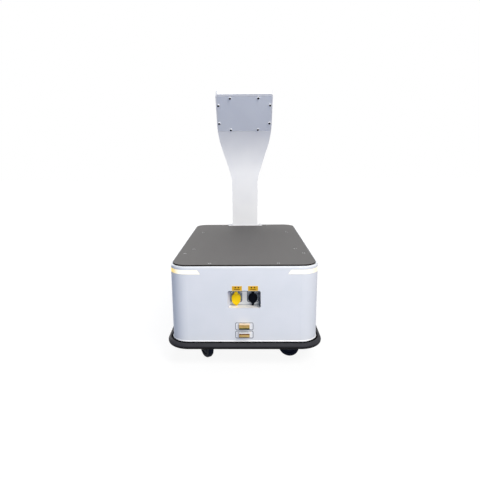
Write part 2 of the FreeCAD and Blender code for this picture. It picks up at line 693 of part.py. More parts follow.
def light_bars(name, rotation):
    """Two corner light bars: the lit band fills the window and a thin flange lies behind the wall."""
    body = new_body(name)
    body.Placement = Placement(Vector(0, 0, 0), rotation)
    made = []
    layers = ((0, S.shell_wall, 0, S.light_reach), (S.shell_wall, 1.5, S.light_flange, S.light_reach + 3))
    for depth, thick, extra, reach in layers:
        sketch = new_sketch(body, "XY_Plane", z=S.light_bottom - extra)
        near_x = HALF_WIDTH - reach
        near_y = -HALF_LENGTH + reach
        outer_x = HALF_WIDTH - depth
        outer_y = -HALF_LENGTH + depth
        radius = S.body_corner - depth
        outline(sketch, [(near_x, outer_y), (outer_x, outer_y, radius), (outer_x, near_y),
                         (outer_x - thick, near_y), (outer_x - thick, outer_y + thick, radius - thick),
                         (near_x, outer_y + thick)])
        made.append(pad(body, sketch, S.light_height + 2 * extra))
    low = S.light_bottom
    high = S.light_bottom + S.light_height
    below = low - S.light_height / S.light_slant
    for sign, (plane, across, along) in zip((1, -1), WALLS):
        start = across - S.light_reach
        sketch = new_sketch(body, plane, z=along + 1)
        outline(sketch, [(sign * (start - 1), below), (sign * (start + S.light_slant), high),
                         (sign * (start - 1), high)])
        made.append(pocket(body, sketch, 1 + S.shell_wall))
    mirror(body, made, "YZ_Plane")


# ---- rear interfaces ------------------------------------------------------------------------


def make_recess():
    """Drawn tray behind the rear wall, open to the rear, with a flange against the wall."""
    body = new_body("socket_recess")
    wall_face = HALF_LENGTH - S.shell_wall
    sketch = new_sketch(body, "XZ_Plane", z=wall_face)
    rectangle(sketch, 0, S.recess_centre, S.recess_width + 2 * S.recess_flange,
              S.recess_height + 2 * S.recess_flange, S.recess_corner + S.recess_flange)
    pad(body, sketch, S.shell_wall, reverse=True)
    tray = new_sketch(body, "XZ_Plane", z=wall_face)
    rectangle(tray, 0, S.recess_centre, S.recess_width + 2 * S.shell_wall,
              S.recess_height + 2 * S.shell_wall, S.recess_corner + S.shell_wall)
    pad(body, tray, S.recess_depth, reverse=True)
    hollow = new_sketch(body, "XZ_Plane", z=wall_face + 1)
    rectangle(hollow, 0, S.recess_centre, S.recess_width, S.recess_height, S.recess_corner)
    pocket(body, hollow, S.recess_depth - S.shell_wall + 1)

    plate = new_body("socket_label", node=False)
    profile = new_sketch(plate, "XZ_Plane")
    rectangle(profile, 0, 0, S.label_width, S.label_height)
    pad(plate, profile, S.label_thick)
    height = S.recess_centre + S.recess_height / 2 + S.label_height / 2
    across = [S.label_shift + side * S.label_spacing / 2 for side in (-1, 1)]
    copies("socket_labels", plate, [(x, -HALF_LENGTH, height, UPRIGHT) for x in across])


SOCKET_BACK = S.recess_depth - HALF_LENGTH  # rear face of the recess wall that carries the sockets
LID_EAR = S.lid_radius * 0.34


def make_socket(name, x):
    """Square flange with a hollow barrel and two hinge ears above it."""
    body = new_body(name)
    place(body, x, SOCKET_BACK, S.socket_height)
    sketch = new_sketch(body, "XZ_Plane")
    rectangle(sketch, 0, 0, S.socket_flange, S.socket_flange, 4)
    pad(body, sketch, S.socket_plate)
    profile = new_sketch(body, "XY_Plane")
    reach = -S.socket_plate - S.barrel_length
    floor = reach + S.bore_depth
    outline(profile, [(0, -1), (S.barrel_radius, -1), (S.barrel_radius, reach + 1),
                      (S.barrel_radius - 1, reach), (S.barrel_bore, reach), (S.barrel_bore, floor), (0, floor)])
    turn(body, "Revolution", profile, "V_Axis")
    ears = new_sketch(body, "YZ_Plane")
    axis_y = reach + S.lid_pin_radius * 2.6
    pin_z = S.lid_pin_rise
    outline(ears, [(-1, pin_z - 5), (reach + S.lid_length - 1, pin_z - 2.8), (axis_y - 3, pin_z - 2.8),
                   (axis_y - 3, pin_z + 2), (axis_y - 2, pin_z + 3), (axis_y + 3, pin_z + 3), (-1, pin_z - 1)])
    pad(body, ears, 2 * (LID_EAR + 2), both=True)
    gap = new_sketch(body, "YZ_Plane")
    outline(gap, [(-S.socket_plate - 1.5, S.barrel_radius + 0.6), (axis_y - 5, S.barrel_radius + 0.6),
                  (axis_y - 5, S.lid_pin_rise + 5), (-S.socket_plate - 1.5, S.lid_pin_rise + 5)])
    pocket(body, gap, 2 * (LID_EAR + S.lid_gap), both=True)
    bore = new_sketch(body, "YZ_Plane")
    circle(bore, axis_y, S.lid_pin_rise, S.lid_pin_radius)
    pocket(body, bore, 40, both=True)
    return axis_y


def make_lid(name, x, axis_y, tab_width):
    """Cup over the barrel's end, with a hinge knuckle above and a pull tab below."""
    body = new_body(name)
    place(body, x, SOCKET_BACK, S.socket_height)
    reach = -S.socket_plate - S.barrel_length
    front = reach - S.lid_gap - S.lid_wall
    profile = new_sketch(body, "XY_Plane")
    inner = S.lid_radius - S.lid_wall
    outline(profile, [(0, front), (S.lid_radius - 1.5, front), (S.lid_radius, front + 1.5),
                      (S.lid_radius, front + S.lid_length),
                      (inner, front + S.lid_length), (inner, reach - S.lid_gap), (0, reach - S.lid_gap)])
    turn(body, "Revolution", profile, "V_Axis")
    tab = new_sketch(body, "XZ_Plane", z=-front)
    root = tab_width / 2
    end = S.tab_end / 2
    outline(tab, [(-root, -S.lid_radius + 2), (-end, -S.lid_tab_drop), (end, -S.lid_tab_drop),
                  (root, -S.lid_radius + 2)])
    pad(body, tab, S.lid_wall + S.lid_gap, reverse=True)
    knuckle = new_sketch(body, "YZ_Plane")
    pin_z = S.lid_pin_rise
    inside = front + S.lid_wall + 1
    outline(knuckle, [(front, S.lid_radius - 1), (front, pin_z + 1.5), (front + 1.5, pin_z + 2.4),
                      (axis_y + 2.2, pin_z + 2.4), (axis_y + 2.2, pin_z - 2), (inside, pin_z - 2),
                      (inside, S.lid_radius - 1)])
    pad(body, knuckle, 2 * LID_EAR, both=True)
    bore = new_sketch(body, "YZ_Plane")
    circle(bore, axis_y, S.lid_pin_rise, S.lid_pin_radius + S.pin_gap)
    pocket(body, bore, 40, both=True)


def make_sockets():
    positions = [S.socket_shift + side * S.socket_spacing / 2 for side in (-1, 1)]
    for side, x, tab_width in zip(("left", "right"), positions, (S.tab_left, S.tab_right)):
        axis_y = make_socket("socket_" + side, x)
        make_lid("socket_lid_" + side, x, axis_y, tab_width)
    pin = new_body("lid_pin", node=False)
    sketch = new_sketch(pin, "YZ_Plane")
    circle(sketch, 0, 0, S.lid_pin_radius)
    pad(pin, sketch, 2 * (LID_EAR + 2), both=True)
    pin_y = SOCKET_BACK + axis_y
    pin_z = S.socket_height + S.lid_pin_rise
    copies("lid_pins", pin, [(x, pin_y, pin_z, UPRIGHT) for x in positions])


def make_contacts():
    """White holder seated behind each slot, and the brass block that stands out of it."""
    holder = new_body("contact_holder", node=False)
    sketch = new_sketch(holder, "XZ_Plane", z=-S.shell_wall)
    rectangle(sketch, 0, 0, S.slot_width + 2 * S.holder_flange, S.holder_height, S.holder_corner)
    pad(holder, sketch, S.holder_depth, reverse=True)
    nose = new_sketch(holder, "XZ_Plane", z=-S.shell_wall)
    rectangle(nose, 0, 0, S.slot_width - 2 * S.slot_gap, S.slot_height - 2 * S.slot_gap,
              S.slot_corner - S.slot_gap)
    pad(holder, nose, S.shell_wall)
    socket = new_sketch(holder, "XZ_Plane", z=1)
    rectangle(socket, 0, S.contact_rise, S.contact_width, S.contact_height)
    pocket(holder, socket, S.holder_depth - 2)
    contact = new_body("charge_contact", node=False)
    side = new_sketch(contact, "YZ_Plane")
    low = S.contact_rise - S.contact_height / 2
    high = S.contact_rise + S.contact_height / 2
    outline(side, [(-S.contact_reach + S.contact_slant, low), (-S.contact_reach, low + S.contact_slant),
                   (-S.contact_reach, high - 1), (1 - S.contact_reach, high), (S.holder_depth - 3, high),
                   (S.holder_depth - 3, low)])
    pad(contact, side, S.contact_width, both=True)
    heights = [S.slot_low, S.slot_low + S.slot_spacing]
    copies("contact_holders", holder, [(0, -HALF_LENGTH, height, UPRIGHT) for height in heights])
    copies("charge_contacts", contact, [(0, -HALF_LENGTH, height, UPRIGHT) for height in heights])


# ---- mast -----------------------------------------------------------------------------------

FOOT_TOP = DECK_TOP + S.foot_thick
BEND_REACH = S.bend_radius * tangent(S.lean / 2)
BEND_CORNER = S.bend_start + BEND_REACH


def on_head(down, depth):
    """Point (Y, Z) of the head: down from its top along the rear face, and depth in from it."""
    along = BEND_REACH + S.head_length - down
    y = S.mast_plane - along * sine(S.lean) + depth * cosine(S.lean)
    z = BEND_CORNER + along * cosine(S.lean) + depth * sine(S.lean)
    return y, z


def bend_point(depth):
    """Corner of the bend, depth in from the rear face, and the bend radius there."""
    return (S.mast_plane + depth, BEND_CORNER + depth * tangent(S.lean / 2), S.bend_radius + depth)


def flare_cut(body, shrink, top):
    """Trim a full-width band to the flared outline, shrink in from the mast's side."""
    sketch = new_sketch(body, "XZ_Plane")
    column = S.column_half - shrink
    head = S.head_half - shrink
    outside = S.head_half + 20
    below = FOOT_TOP - 5
    for side in (-1, 1):
        outline(sketch, [(side * column, below), (side * column, S.flare_start, S.flare_low_radius + shrink),
                         (side * head, S.flare_end, S.flare_high_radius - shrink), (side * head, top),
                         (side * outside, top), (side * outside, below)])
    pocket(body, sketch, 4 * S.mast_plane, both=True)


def head_band(body, top, length, low, high, half):
    """Flat piece along the head: from top down by length, between two depths, to both sides."""
    sketch = new_sketch(body, "YZ_Plane")
    below = top + length
    outline(sketch, [on_head(top, low), on_head(top, high), on_head(below, high), on_head(below, low)])
    return sketch, 2 * half


def mast_solid(name, shrink, front, foot, node):
    """The mast as a solid block, shrink in from its outer faces and open towards its front."""
    body = new_body(name, node)
    side = new_sketch(body, "YZ_Plane")
    outline(side, [(S.mast_plane + shrink, foot), (S.mast_plane + front, foot), bend_point(front),
                   on_head(shrink, front), on_head(shrink, shrink), bend_point(shrink)])
    pad(body, side, 2 * S.head_half, both=True)
    flare_cut(body, shrink, BEND_CORNER + 2 * S.head_length)
    head_side = (S.head_half - shrink).value
    head_top = on_head(shrink, shrink)[1].value
    round_edges(body, S.head_corner - shrink, lambda edge: edge.BoundBox.ZMin > head_top - 1 and
                abs(abs(edge.CenterOfMass.x) - head_side) < 0.01)
    return body


def make_mast():
    """Folded channel open to the front: a column that flares and bends into the flat head."""
    body = mast_solid("mast_shell", as_size(0), S.mast_depth, FOOT_TOP, True)
    cavity = mast_solid("mast_cavity", S.mast_wall, S.mast_depth + 1, FOOT_TOP - 1, False)
    hollow = body.newObject("PartDesign::Boolean", "mast_hollow")
    hollow.Type = "Cut"
    hollow.setObjects([cavity])
    doc.recompute()
    backing, width = head_band(body, S.plate_top - 6, S.plate_length + 12, S.mast_wall - 0.5, 2 * S.mast_wall,
                               S.plate_half + 3)
    pad(body, backing, width, both=True)
    groove = S.plate_groove
    recess, width = head_band(body, S.plate_top - groove, S.plate_length + 2 * groove, -1, S.mast_wall,
                              S.plate_half + groove)
    pocket(body, recess, width, both=True)


def make_mast_cover():
    """Sheet that closes the channel from the front, up to the display."""
    body = new_body("mast_cover")
    back = S.mast_depth - S.mast_wall
    front = S.mast_depth
    below = S.head_length - 1
    sketch = new_sketch(body, "YZ_Plane")
    start = FOOT_TOP + 1
    outline(sketch, [(S.mast_plane + back, start), (S.mast_plane + front, start), bend_point(front),
                     on_head(below, front), on_head(below, back), bend_point(back)])
    pad(body, sketch, 2 * S.head_half, both=True)
    flare_cut(body, S.mast_wall + S.seat_gap, BEND_CORNER + 2 * S.head_length)


def make_head():
    """Access plate in the rear of the head; display unit and glass in its front."""
    plate = new_body("head_plate")
    sketch, width = head_band(plate, S.plate_top, S.plate_length, 0, S.mast_wall, S.plate_half)
    pad(plate, sketch, width, both=True)
    round_edges(plate, S.plate_corner, upright_to_head(S.mast_wall))
    panel_face = S.mast_depth + S.panel_thick
    unit = new_body("display_unit")
    sketch, width = head_band(unit, 0, S.head_length, S.mast_depth, panel_face, S.head_half)
    pad(unit, sketch, width, both=True)
    round_edges(unit, S.head_corner, upright_to_head(S.panel_thick))
    sketch, width = head_band(unit, S.display_end, S.display_length, S.mast_depth - S.display_depth,
                              S.mast_depth, S.display_half)
    pad(unit, sketch, width, both=True)
    glass = new_body("display_glass")
    margin = S.glass_margin
    sketch, width = head_band(glass, margin, S.head_length - 2 * margin, panel_face,
                              panel_face + S.glass_thick, S.head_half - margin)
    pad(glass, sketch, width, both=True)
    round_edges(glass, S.head_corner - margin, upright_to_head(S.glass_thick))

    screw = new_body("button_screw", node=False)
    profile = new_sketch(screw, "XZ_Plane")
    outline(profile, [(0, 0), (S.button_head, 0), (S.button_head * 0.6, S.button_rise), (0, S.button_rise)])
    turn(screw, "Revolution", profile, "V_Axis")
    lying = Rotation(Vector(1, 0, 0), 90 + S.lean.value)
    row_top = S.plate_top + S.plate_row
    row_low = S.plate_top + S.plate_length - S.plate_row
    side_top = S.plate_top + S.plate_side_drop
    spots = []
    for side in (-1, 1):
        for down, half in ((row_top, S.plate_row_half), (side_top, S.plate_side_half),
                           (side_top + S.plate_side_pitch, S.plate_side_half), (row_low, S.plate_row_half)):
            spots.append((side * half,) + on_head(down, 0) + (lying,))
    copies("head_plate_screws", screw, spots)

    foot = new_body("mast_foot")
    sketch = new_sketch(foot, "XY_Plane", z=S.shell_top)
    middle = S.mast_plane - S.foot_edge + S.foot_depth / 2
    rectangle(sketch, 0, middle, S.foot_width, S.foot_depth, S.foot_corner)
    pad(foot, sketch, S.deck_thick + S.foot_thick)
    copies("mast_screws", screw, [(side * S.foot_screw_x, middle, FOOT_TOP, UPRIGHT) for side in (-1, 1)])


# ---- front: scanner and buttons -------------------------------------------------------------


def make_scanner():
    """Window with a hidden flange, and the scanner that looks out through it."""
    window = new_body("scanner_window")
    sketch = new_sketch(window, "XZ_Plane", z=-HALF_LENGTH)
    rectangle(sketch, 0, S.window_centre, S.window_width - 2 * S.seat_gap, S.window_height - 2 * S.seat_gap,
              S.slot_corner - S.seat_gap)
    pad(window, sketch, S.shell_wall)
    flange = new_sketch(window, "XZ_Plane", z=-HALF_LENGTH + S.shell_wall)
    rectangle(flange, 0, S.window_centre, S.window_width + 2 * S.window_flange,
              S.window_height + 2 * S.window_flange, S.slot_corner)
    pad(window, flange, S.window_thick)

    scanner = new_body("scanner")
    profile = new_sketch(scanner, "XZ_Plane")
    radius = S.scanner_radius
    neck = radius - S.scanner_neck
    waist = radius - S.slit_depth
    centre = S.window_centre
    under = centre - S.scanner_head
    mouth = S.slit_half
    floor = S.slit_half - S.slit_bevel
    toe = radius - S.scanner_toe
    outline(profile, [(0, CHASSIS_TOP), (toe, CHASSIS_TOP), (neck, CHASSIS_TOP + S.scanner_taper),
                      (neck, under), (radius, under + S.scanner_taper), (radius, centre - mouth),
                      (waist, centre - floor), (waist, centre + floor), (radius, centre + mouth),
                      (radius, S.scanner_top), (0, S.scanner_top)])
    turn(scanner, "Revolution", profile, "V_Axis")
    place(scanner, 0, S.scanner_y, 0)


def make_buttons():
    """A mushroom stop button and a flat power button, each in a bezel on the front wall."""
    stop = new_body("stop_button")
    place(stop, S.button_x, HALF_LENGTH, S.button_z)
    profile = new_sketch(stop, "XY_Plane")
    under = S.bezel_rise + S.stop_travel + S.stop_gap
    edge = under + S.stop_rise - S.stop_bevel
    face = under + S.stop_rise
    outline(profile, [(0, -S.stop_length), (S.stop_stem, -S.stop_length), (S.stop_stem, under),
                      (S.stop_radius, under), (S.stop_radius, edge), (S.stop_radius - S.stop_bevel, face), (0, face)])
    turn(stop, "Revolution", profile, "V_Axis")

    power = new_body("power_button")
    place(power, -S.button_x, HALF_LENGTH, S.button_z)
    profile = new_sketch(power, "XY_Plane")
    face = S.bezel_rise + S.power_travel
    outline(profile, [(0, -S.power_length), (S.power_radius, -S.power_length), (S.power_radius, face),
                      (0, face)])
    turn(power, "Revolution", profile, "V_Axis")

    bezels = []
    for name, sign, stem, rim, barrel in (("stop_bezel", 1, S.stop_stem, S.stop_bezel, S.stop_barrel),
                                          ("power_bezel", -1, S.power_radius, S.power_bezel, S.power_barrel)):
        body = new_body(name, node=False)
        profile = new_sketch(body, "XY_Plane")
        inner = stem + S.seat_gap
        outer = stem + barrel - S.seat_gap
        outline(profile, [(inner, -S.bezel_length), (outer, -S.bezel_length), (outer, 0), (rim, 0),
                          (rim, S.bezel_edge), (rim - S.bezel_bevel, S.bezel_rise), (inner, S.bezel_rise)])
        turn(body, "Revolution", profile, "V_Axis")
        bezels.append((body, sign * S.button_x, HALF_LENGTH, S.button_z, UPRIGHT))
    group_up("button_bezels", bezels)


# ---- frame ----------------------------------------------------------------------------------


def make_chassis():
    body = new_body("chassis_plate")
    gap = S.shell_wall + S.seat_gap
    sketch = new_sketch(body, "XY_Plane", z=S.chassis_bottom)
    rectangle(sketch, 0, 0, S.body_width - 2 * gap, S.body_length - 2 * gap, S.body_corner - gap)
    pad(body, sketch, S.chassis_thick)
    well_low = S.arm_x - S.well_in
    well_high = S.wheel_x + S.tyre_width / 2 + S.well_out
    wells = new_sketch(body, "XY_Plane", z=CHASSIS_TOP + 1)
    for side in (-1, 1):
        rectangle(wells, side * (well_low + well_high) / 2, S.well_y, well_high - well_low,
                  2 * S.wheel_radius + S.well_more, S.well_corner)
    pocket(body, wells, S.chassis_thick + 2)
    ears = new_sketch(body, "XY_Plane", z=CHASSIS_TOP)
    for side in (-1, 1):
        for out in (-1, 1):
            x = side * S.arm_x + out * (S.boss_half + S.seat_gap + S.ear_thick / 2)
            rectangle(ears, x, S.pivot_y, S.ear_thick, 2 * S.ear_half)
    pad(body, ears, S.pivot_z - CHASSIS_TOP + S.ear_half)
    top = (S.pivot_z + S.ear_half).value
    across = S.ear_thick.value
    round_edges(body, S.ear_half - 1, lambda edge: flat_at(edge, top) and abs(edge.Length - across) < 0.01)
    bore = new_sketch(body, "YZ_Plane")
    circle(bore, S.pivot_y, S.pivot_z, S.pivot_radius)
    pocket(body, bore, S.body_width, both=True)

    pin = new_body("arm_pin", node=False)
    sketch = new_sketch(pin, "YZ_Plane")
    circle(sketch, 0, 0, S.pivot_radius)
    half_span = S.boss_half + S.seat_gap + S.ear_thick
    pad(pin, sketch, 2 * (half_span + S.pin_end), both=True)
    copies("arm_pins", pin, [(side * S.arm_x, S.pivot_y, S.pivot_z, UPRIGHT) for side in (-1, 1)])


def square_tube(body, plane, z, length):
    """Square tube pushed out of a sketch on an origin plane."""
    sketch = new_sketch(body, plane, z=z)
    rectangle(sketch, 0, 0, S.tube_side, S.tube_side)
    rectangle(sketch, 0, 0, S.tube_side - 2 * S.tube_wall, S.tube_side - 2 * S.tube_wall)
    pad(body, sketch, length)


def make_frame():
    rail = new_body("deck_rail", node=False)
    square_tube(rail, "XZ_Plane", -S.rail_length / 2, S.rail_length)
    height = S.shell_top - S.tube_side / 2
    copies("deck_rails", rail, [(side * S.rail_x, 0, height, UPRIGHT) for side in (-1, 1)])
    post = new_body("frame_post", node=False)
    square_tube(post, "XY_Plane", 0, S.shell_top - S.tube_side - CHASSIS_TOP)
    spots = [(side * S.rail_x, y, CHASSIS_TOP, UPRIGHT) for side in (-1, 1)
             for y in (-S.post_end_y, -S.post_y, S.post_y, S.post_end_y)]
    copies("frame_posts", post, spots)

    brackets = new_body("suspension_brackets")
    half = S.post_y - S.tube_side / 2
    inner = S.arm_x - S.bracket_in
    back = S.spring_y - S.bracket_back
    corner = S.bracket_corner
    web = S.rail_x - S.tube_side / 2
    outer = S.rail_x + S.tube_side / 2
    plate = new_sketch(brackets, "XY_Plane", z=S.bracket_height)
    lip = new_sketch(brackets, "XY_Plane", z=S.bracket_height + S.bracket_thick)
    for side in (-1, 1):
        outline(plate, [(side * inner, back, corner), (side * inner, half, corner), (side * outer, half),
                        (side * outer, -half), (side * web, -half, S.bracket_relief),
                        (side * web, back, S.bracket_curve)])
        rectangle(lip, side * (outer - S.bracket_thick / 2), 0, S.bracket_thick, 2 * half)
    pad(brackets, plate, S.bracket_thick)
    pad(brackets, lip, S.tube_side)


def make_box(name, half, length, height, y):
    """Electronics housing on the chassis plate, with a finned lid."""
    body = new_body(name)
    sketch = new_sketch(body, "XY_Plane", z=CHASSIS_TOP)
    rectangle(sketch, 0, y, 2 * half, length)
    pad(body, sketch, height)
    groove = new_sketch(body, "XY_Plane", z=CHASSIS_TOP + height)
    for across in range(-2, 3):
        rectangle(groove, across * half / 3, y, half / 6, length - 20)
    pocket(body, groove, 3)


# ---- drive ----------------------------------------------------------------------------------


def make_drive(side, sign):
    """Swing arm, fixed axle, hub motor, tyre and spring of one side."""
    arm = new_body("swing_arm_" + side)
    sketch = new_sketch(arm, "YZ_Plane", z=sign * S.arm_x)
    back = S.pivot_y - S.arm_eye
    ahead = S.pivot_y + S.arm_eye
    above = S.pivot_z + S.arm_eye
    below = S.pivot_z - S.arm_eye
    turned = S.arm_eye - 1
    belly = S.wheel_radius - S.arm_belly
    reach = S.spring_y + S.spring_radius + 8
    outline(sketch, [(back, above, turned), (back, below, turned), (-14, belly, 16), (22, belly, 16),
                     (reach, S.spring_seat - 10, 6), (reach, S.spring_seat),
                     (S.spring_y - 46, S.spring_seat + 4, 30), (ahead, above, turned)])
    pad(arm, sketch, S.arm_thick, both=True)
    boss = new_sketch(arm, "YZ_Plane", z=sign * S.arm_x)
    circle(boss, S.pivot_y, S.pivot_z, S.pivot_boss)
    pad(arm, boss, 2 * S.boss_half, both=True)
    seat = new_sketch(arm, "XY_Plane", z=S.spring_seat)
    circle(seat, sign * S.arm_x, S.spring_y, S.spring_radius + 2.5)
    pad(arm, seat, S.seat_thick)
    bores = new_sketch(arm, "YZ_Plane", z=sign * S.arm_x)
    circle(bores, S.pivot_y, S.pivot_z, S.pivot_radius + S.pin_gap)
    circle(bores, 0, S.wheel_radius, S.axle_radius)
    pocket(arm, bores, 4 * S.boss_half, both=True)

    inner = S.wheel_x - S.tyre_width / 2
    outer = S.wheel_x + S.tyre_width / 2
    arm_in = S.arm_x - S.arm_thick / 2
    arm_out = S.arm_x + S.arm_thick / 2
    axle = new_body("motor_axle_" + side)
    profile = new_sketch(axle, "XY_Plane", z=S.wheel_radius)
    nut_end = arm_in - S.axle_nut_length
    shoulder = inner - S.seat_gap
    outline(profile, [(sign * x, radius) for x, radius in (
        (nut_end, 0), (nut_end, S.axle_nut), (arm_in, S.axle_nut), (arm_in, S.axle_radius),
        (arm_out, S.axle_radius), (arm_out, S.axle_shoulder), (shoulder, S.axle_shoulder),
        (shoulder, S.axle_radius), (outer - 7, S.axle_radius), (outer - 7, 0))])
    turn(axle, "Revolution", profile, "H_Axis")

    bore = S.axle_radius + S.pin_gap
    hub = new_body("hub_motor_" + side)
    profile = new_sketch(hub, "XY_Plane", z=S.wheel_radius)
    outline(profile, [(sign * x, radius) for x, radius in (
        (inner, bore), (inner, 40), (inner + 2, 48), (inner + 2, S.rim_radius_drive),
        (outer - 2, S.rim_radius_drive), (outer - 2, 48), (outer - 6, 44), (outer - 6, 18), (outer - 2, 14),
        (outer - 2, 0), (outer - 6.5, 0), (outer - 6.5, bore))])
    turn(hub, "Revolution", profile, "H_Axis")

    tyre = new_body("drive_tyre_" + side)
    profile = new_sketch(tyre, "XY_Plane", z=S.wheel_radius)
    outline(profile, [(sign * (inner + 2), S.rim_radius_drive), (sign * inner, S.rim_radius_drive + 5),
                      (sign * inner, S.wheel_radius - 7), (sign * (inner + 2), S.wheel_radius - 2),
                      (sign * (inner + 7), S.wheel_radius), (sign * (outer - 7), S.wheel_radius),
                      (sign * (outer - 2), S.wheel_radius - 2), (sign * outer, S.wheel_radius - 7),
                      (sign * outer, S.rim_radius_drive + 5), (sign * (outer - 2), S.rim_radius_drive)])
    turn(tyre, "Revolution", profile, "H_Axis")


def make_spring(side, sign):
    """Coil spring between the seat on the arm and the bracket, wound in short straight lengths."""
    low = (S.spring_seat + S.seat_thick + S.spring_wire).value
    high = (S.bracket_height - S.spring_wire).value
    radius = S.spring_radius.value
    wire = S.spring_wire.value
    steps = int(round(S.spring_turns.value * SPRING_SIDES))
    points = []
    for step in range(steps + 1):
        angle = 2 * math.pi * step / SPRING_SIDES
        points.append(Vector(radius * math.cos(angle), radius * math.sin(angle), (high - low) * step / steps))
    section = []
    for corner in range(5):
        angle = 2 * math.pi * (corner % 4) / 4
        section.append(Vector(radius + wire * math.cos(angle), 0, wire * math.sin(angle)))
    wound = Part.makePolygon(points).makePipeShell([Part.makePolygon(section)], True, False, 1)
    spring = doc.addObject("Part::Feature", "suspension_spring_" + side)
    spring.Label = spring.Name
    spring.Shape = wound
    spring.Placement = Placement(Vector(sign * S.arm_x.value, S.spring_y.value, low), UPRIGHT)
    NODES.append(spring)


# ---- casters --------------------------------------------------------------------------------


def swivel(body, x, y, angle):
    """Stand a caster piece, drawn with its pivot at the origin, at its place and swivel angle."""
    body.Placement = Placement(Vector(0, 0, 0), Rotation(Vector(0, 0, 1), 1))
    place(body, x, y, 0)
    bind(body, "Placement.Rotation.Angle", angle)


PLATE_LOW = S.chassis_bottom - S.plate_thick
RACE_LOW = PLATE_LOW - S.race_height
CROWN_TOP = RACE_LOW - S.seat_gap
CROWN_LOW = CROWN_TOP - S.fork_crown
FORK_HALF = S.caster_width / 2 + S.side_gap


def make_caster_plate():
    body = new_body("caster_plate", node=False)
    sketch = new_sketch(body, "XY_Plane", z=PLATE_LOW)
    rectangle(sketch, 0, 0, S.caster_plate, S.caster_plate)
    pad(body, sketch, S.plate_thick)
    profile = new_sketch(body, "XZ_Plane")
    pin_low = CROWN_LOW - S.seat_gap
    outline(profile, [(0, PLATE_LOW), (S.race_radius, PLATE_LOW), (S.race_radius, RACE_LOW),
                      (S.kingpin_radius, RACE_LOW), (S.kingpin_radius, pin_low), (0, pin_low)])
    turn(body, "Revolution", profile, "V_Axis")
    nut = new_sketch(body, "XY_Plane", z=pin_low)
    outline(nut, hexagon(0, 0, S.kingpin_radius + S.nut_rim))
    pad(body, nut, S.nut_height, reverse=True)
    copies("caster_plates", body, [(across * S.caster_x, along * S.caster_y, 0, UPRIGHT)
                                   for along in (-1, 1) for across in (-1, 1)])


def make_caster(name, x, y, angle):
    fork = new_body("caster_fork_" + name)
    swivel(fork, x, y, angle)
    crown = new_sketch(fork, "XZ_Plane")
    radius = S.race_radius + 1
    bore = S.kingpin_radius + S.pin_gap
    outline(crown, [(0, CROWN_LOW), (radius, CROWN_LOW), (radius, CROWN_TOP), (0, CROWN_TOP)])
    turn(fork, "Revolution", crown, "V_Axis")
    legs = new_sketch(fork, "XZ_Plane")
    tail = S.caster_trail
    height = S.caster_radius
    root = CROWN_LOW + S.fork_wall
    eye = S.fork_eye
    outline(legs, [(-S.race_radius + 3, root), (tail - eye, height - eye, eye - 1),
                   (tail + eye, height - eye, eye - 1), (tail + eye - 1, height + 12), (S.race_radius - 1, root)])
    pad(fork, legs, 2 * (FORK_HALF + S.fork_wall), both=True)
    inside = new_sketch(fork, "XZ_Plane")
    beyond = 2 * S.caster_radius
    outline(inside, [(-beyond, CROWN_LOW), (-beyond, 0), (beyond, 0), (beyond, CROWN_LOW)])
    pocket(fork, inside, 2 * FORK_HALF, both=True)
    holes = new_sketch(fork, "XZ_Plane")
    circle(holes, tail, height, S.caster_axle)
    pocket(fork, holes, 4 * FORK_HALF, both=True)
    kingpin = new_sketch(fork, "XY_Plane", z=CROWN_TOP + 1)
    circle(kingpin, 0, 0, bore)
    pocket(fork, kingpin, S.fork_crown + 2)

    axle = new_body("caster_axle_" + name)
    swivel(axle, x, y, angle)
    profile = new_sketch(axle, "XY_Plane", x=tail, z=height)
    end = FORK_HALF + S.fork_wall
    outline(profile, [(0, -end), (S.caster_axle, -end), (S.caster_axle, end), (0, end)])
    turn(axle, "Revolution", profile, "V_Axis")
    for far_side in (False, True):
        head = new_sketch(axle, "XZ_Plane", z=-end if far_side else end)
        outline(head, hexagon(tail, height, S.bolt_flat))
        pad(axle, head, S.bolt_head, reverse=far_side)

    wheel = new_body("caster_wheel_" + name)
    swivel(wheel, x, y, angle)
    profile = new_sketch(wheel, "XY_Plane", x=tail, z=height)
    half = S.caster_width / 2
    bore = S.caster_axle + S.pin_gap
    hub = half + S.side_gap - S.seat_gap
    rim = height * 0.66
    boss = S.fork_eye
    side = height - 3
    outline(profile, [(bore, -hub), (boss, -hub), (rim, 3 - half), (rim, -half), (side, -half),
                      (height, 4 - half), (height, half - 4), (side, half), (rim, half), (rim, half - 3),
                      (boss, hub), (bore, hub)])
    turn(wheel, "Revolution", profile, "V_Axis")


# ---- the whole robot ------------------------------------------------------------------------


def build():
    make_shell()
    make_deck()
    make_bumper()
    light_bars("light_bars_rear", UPRIGHT)
    light_bars("light_bars_front", Rotation(Vector(0, 0, 1), 180))
    make_recess()
    make_sockets()
    make_contacts()
    make_mast()
    make_mast_cover()
    make_head()
    make_scanner()
    make_buttons()
    make_chassis()
    make_frame()
    make_box("battery", S.battery_half, S.battery_length, S.battery_height, S.battery_y)
    make_box("controller", S.controller_half, S.controller_length, S.controller_height, S.controller_y)
    make_box("motor_driver", S.driver_half, S.driver_length, S.driver_height, S.driver_y)
    for side, sign in SIDES:
        make_drive(side, sign)
        make_spring(side, sign)
    make_caster_plate()
    make_caster("rear_left", -S.caster_x, -S.caster_y, S.angle_rear_left)
    make_caster("rear_right", S.caster_x, -S.caster_y, S.angle_rear_right)
    make_caster("front_left", -S.caster_x, S.caster_y, S.angle_front_left)
    make_caster("front_right", S.caster_x, S.caster_y, S.angle_front_right)


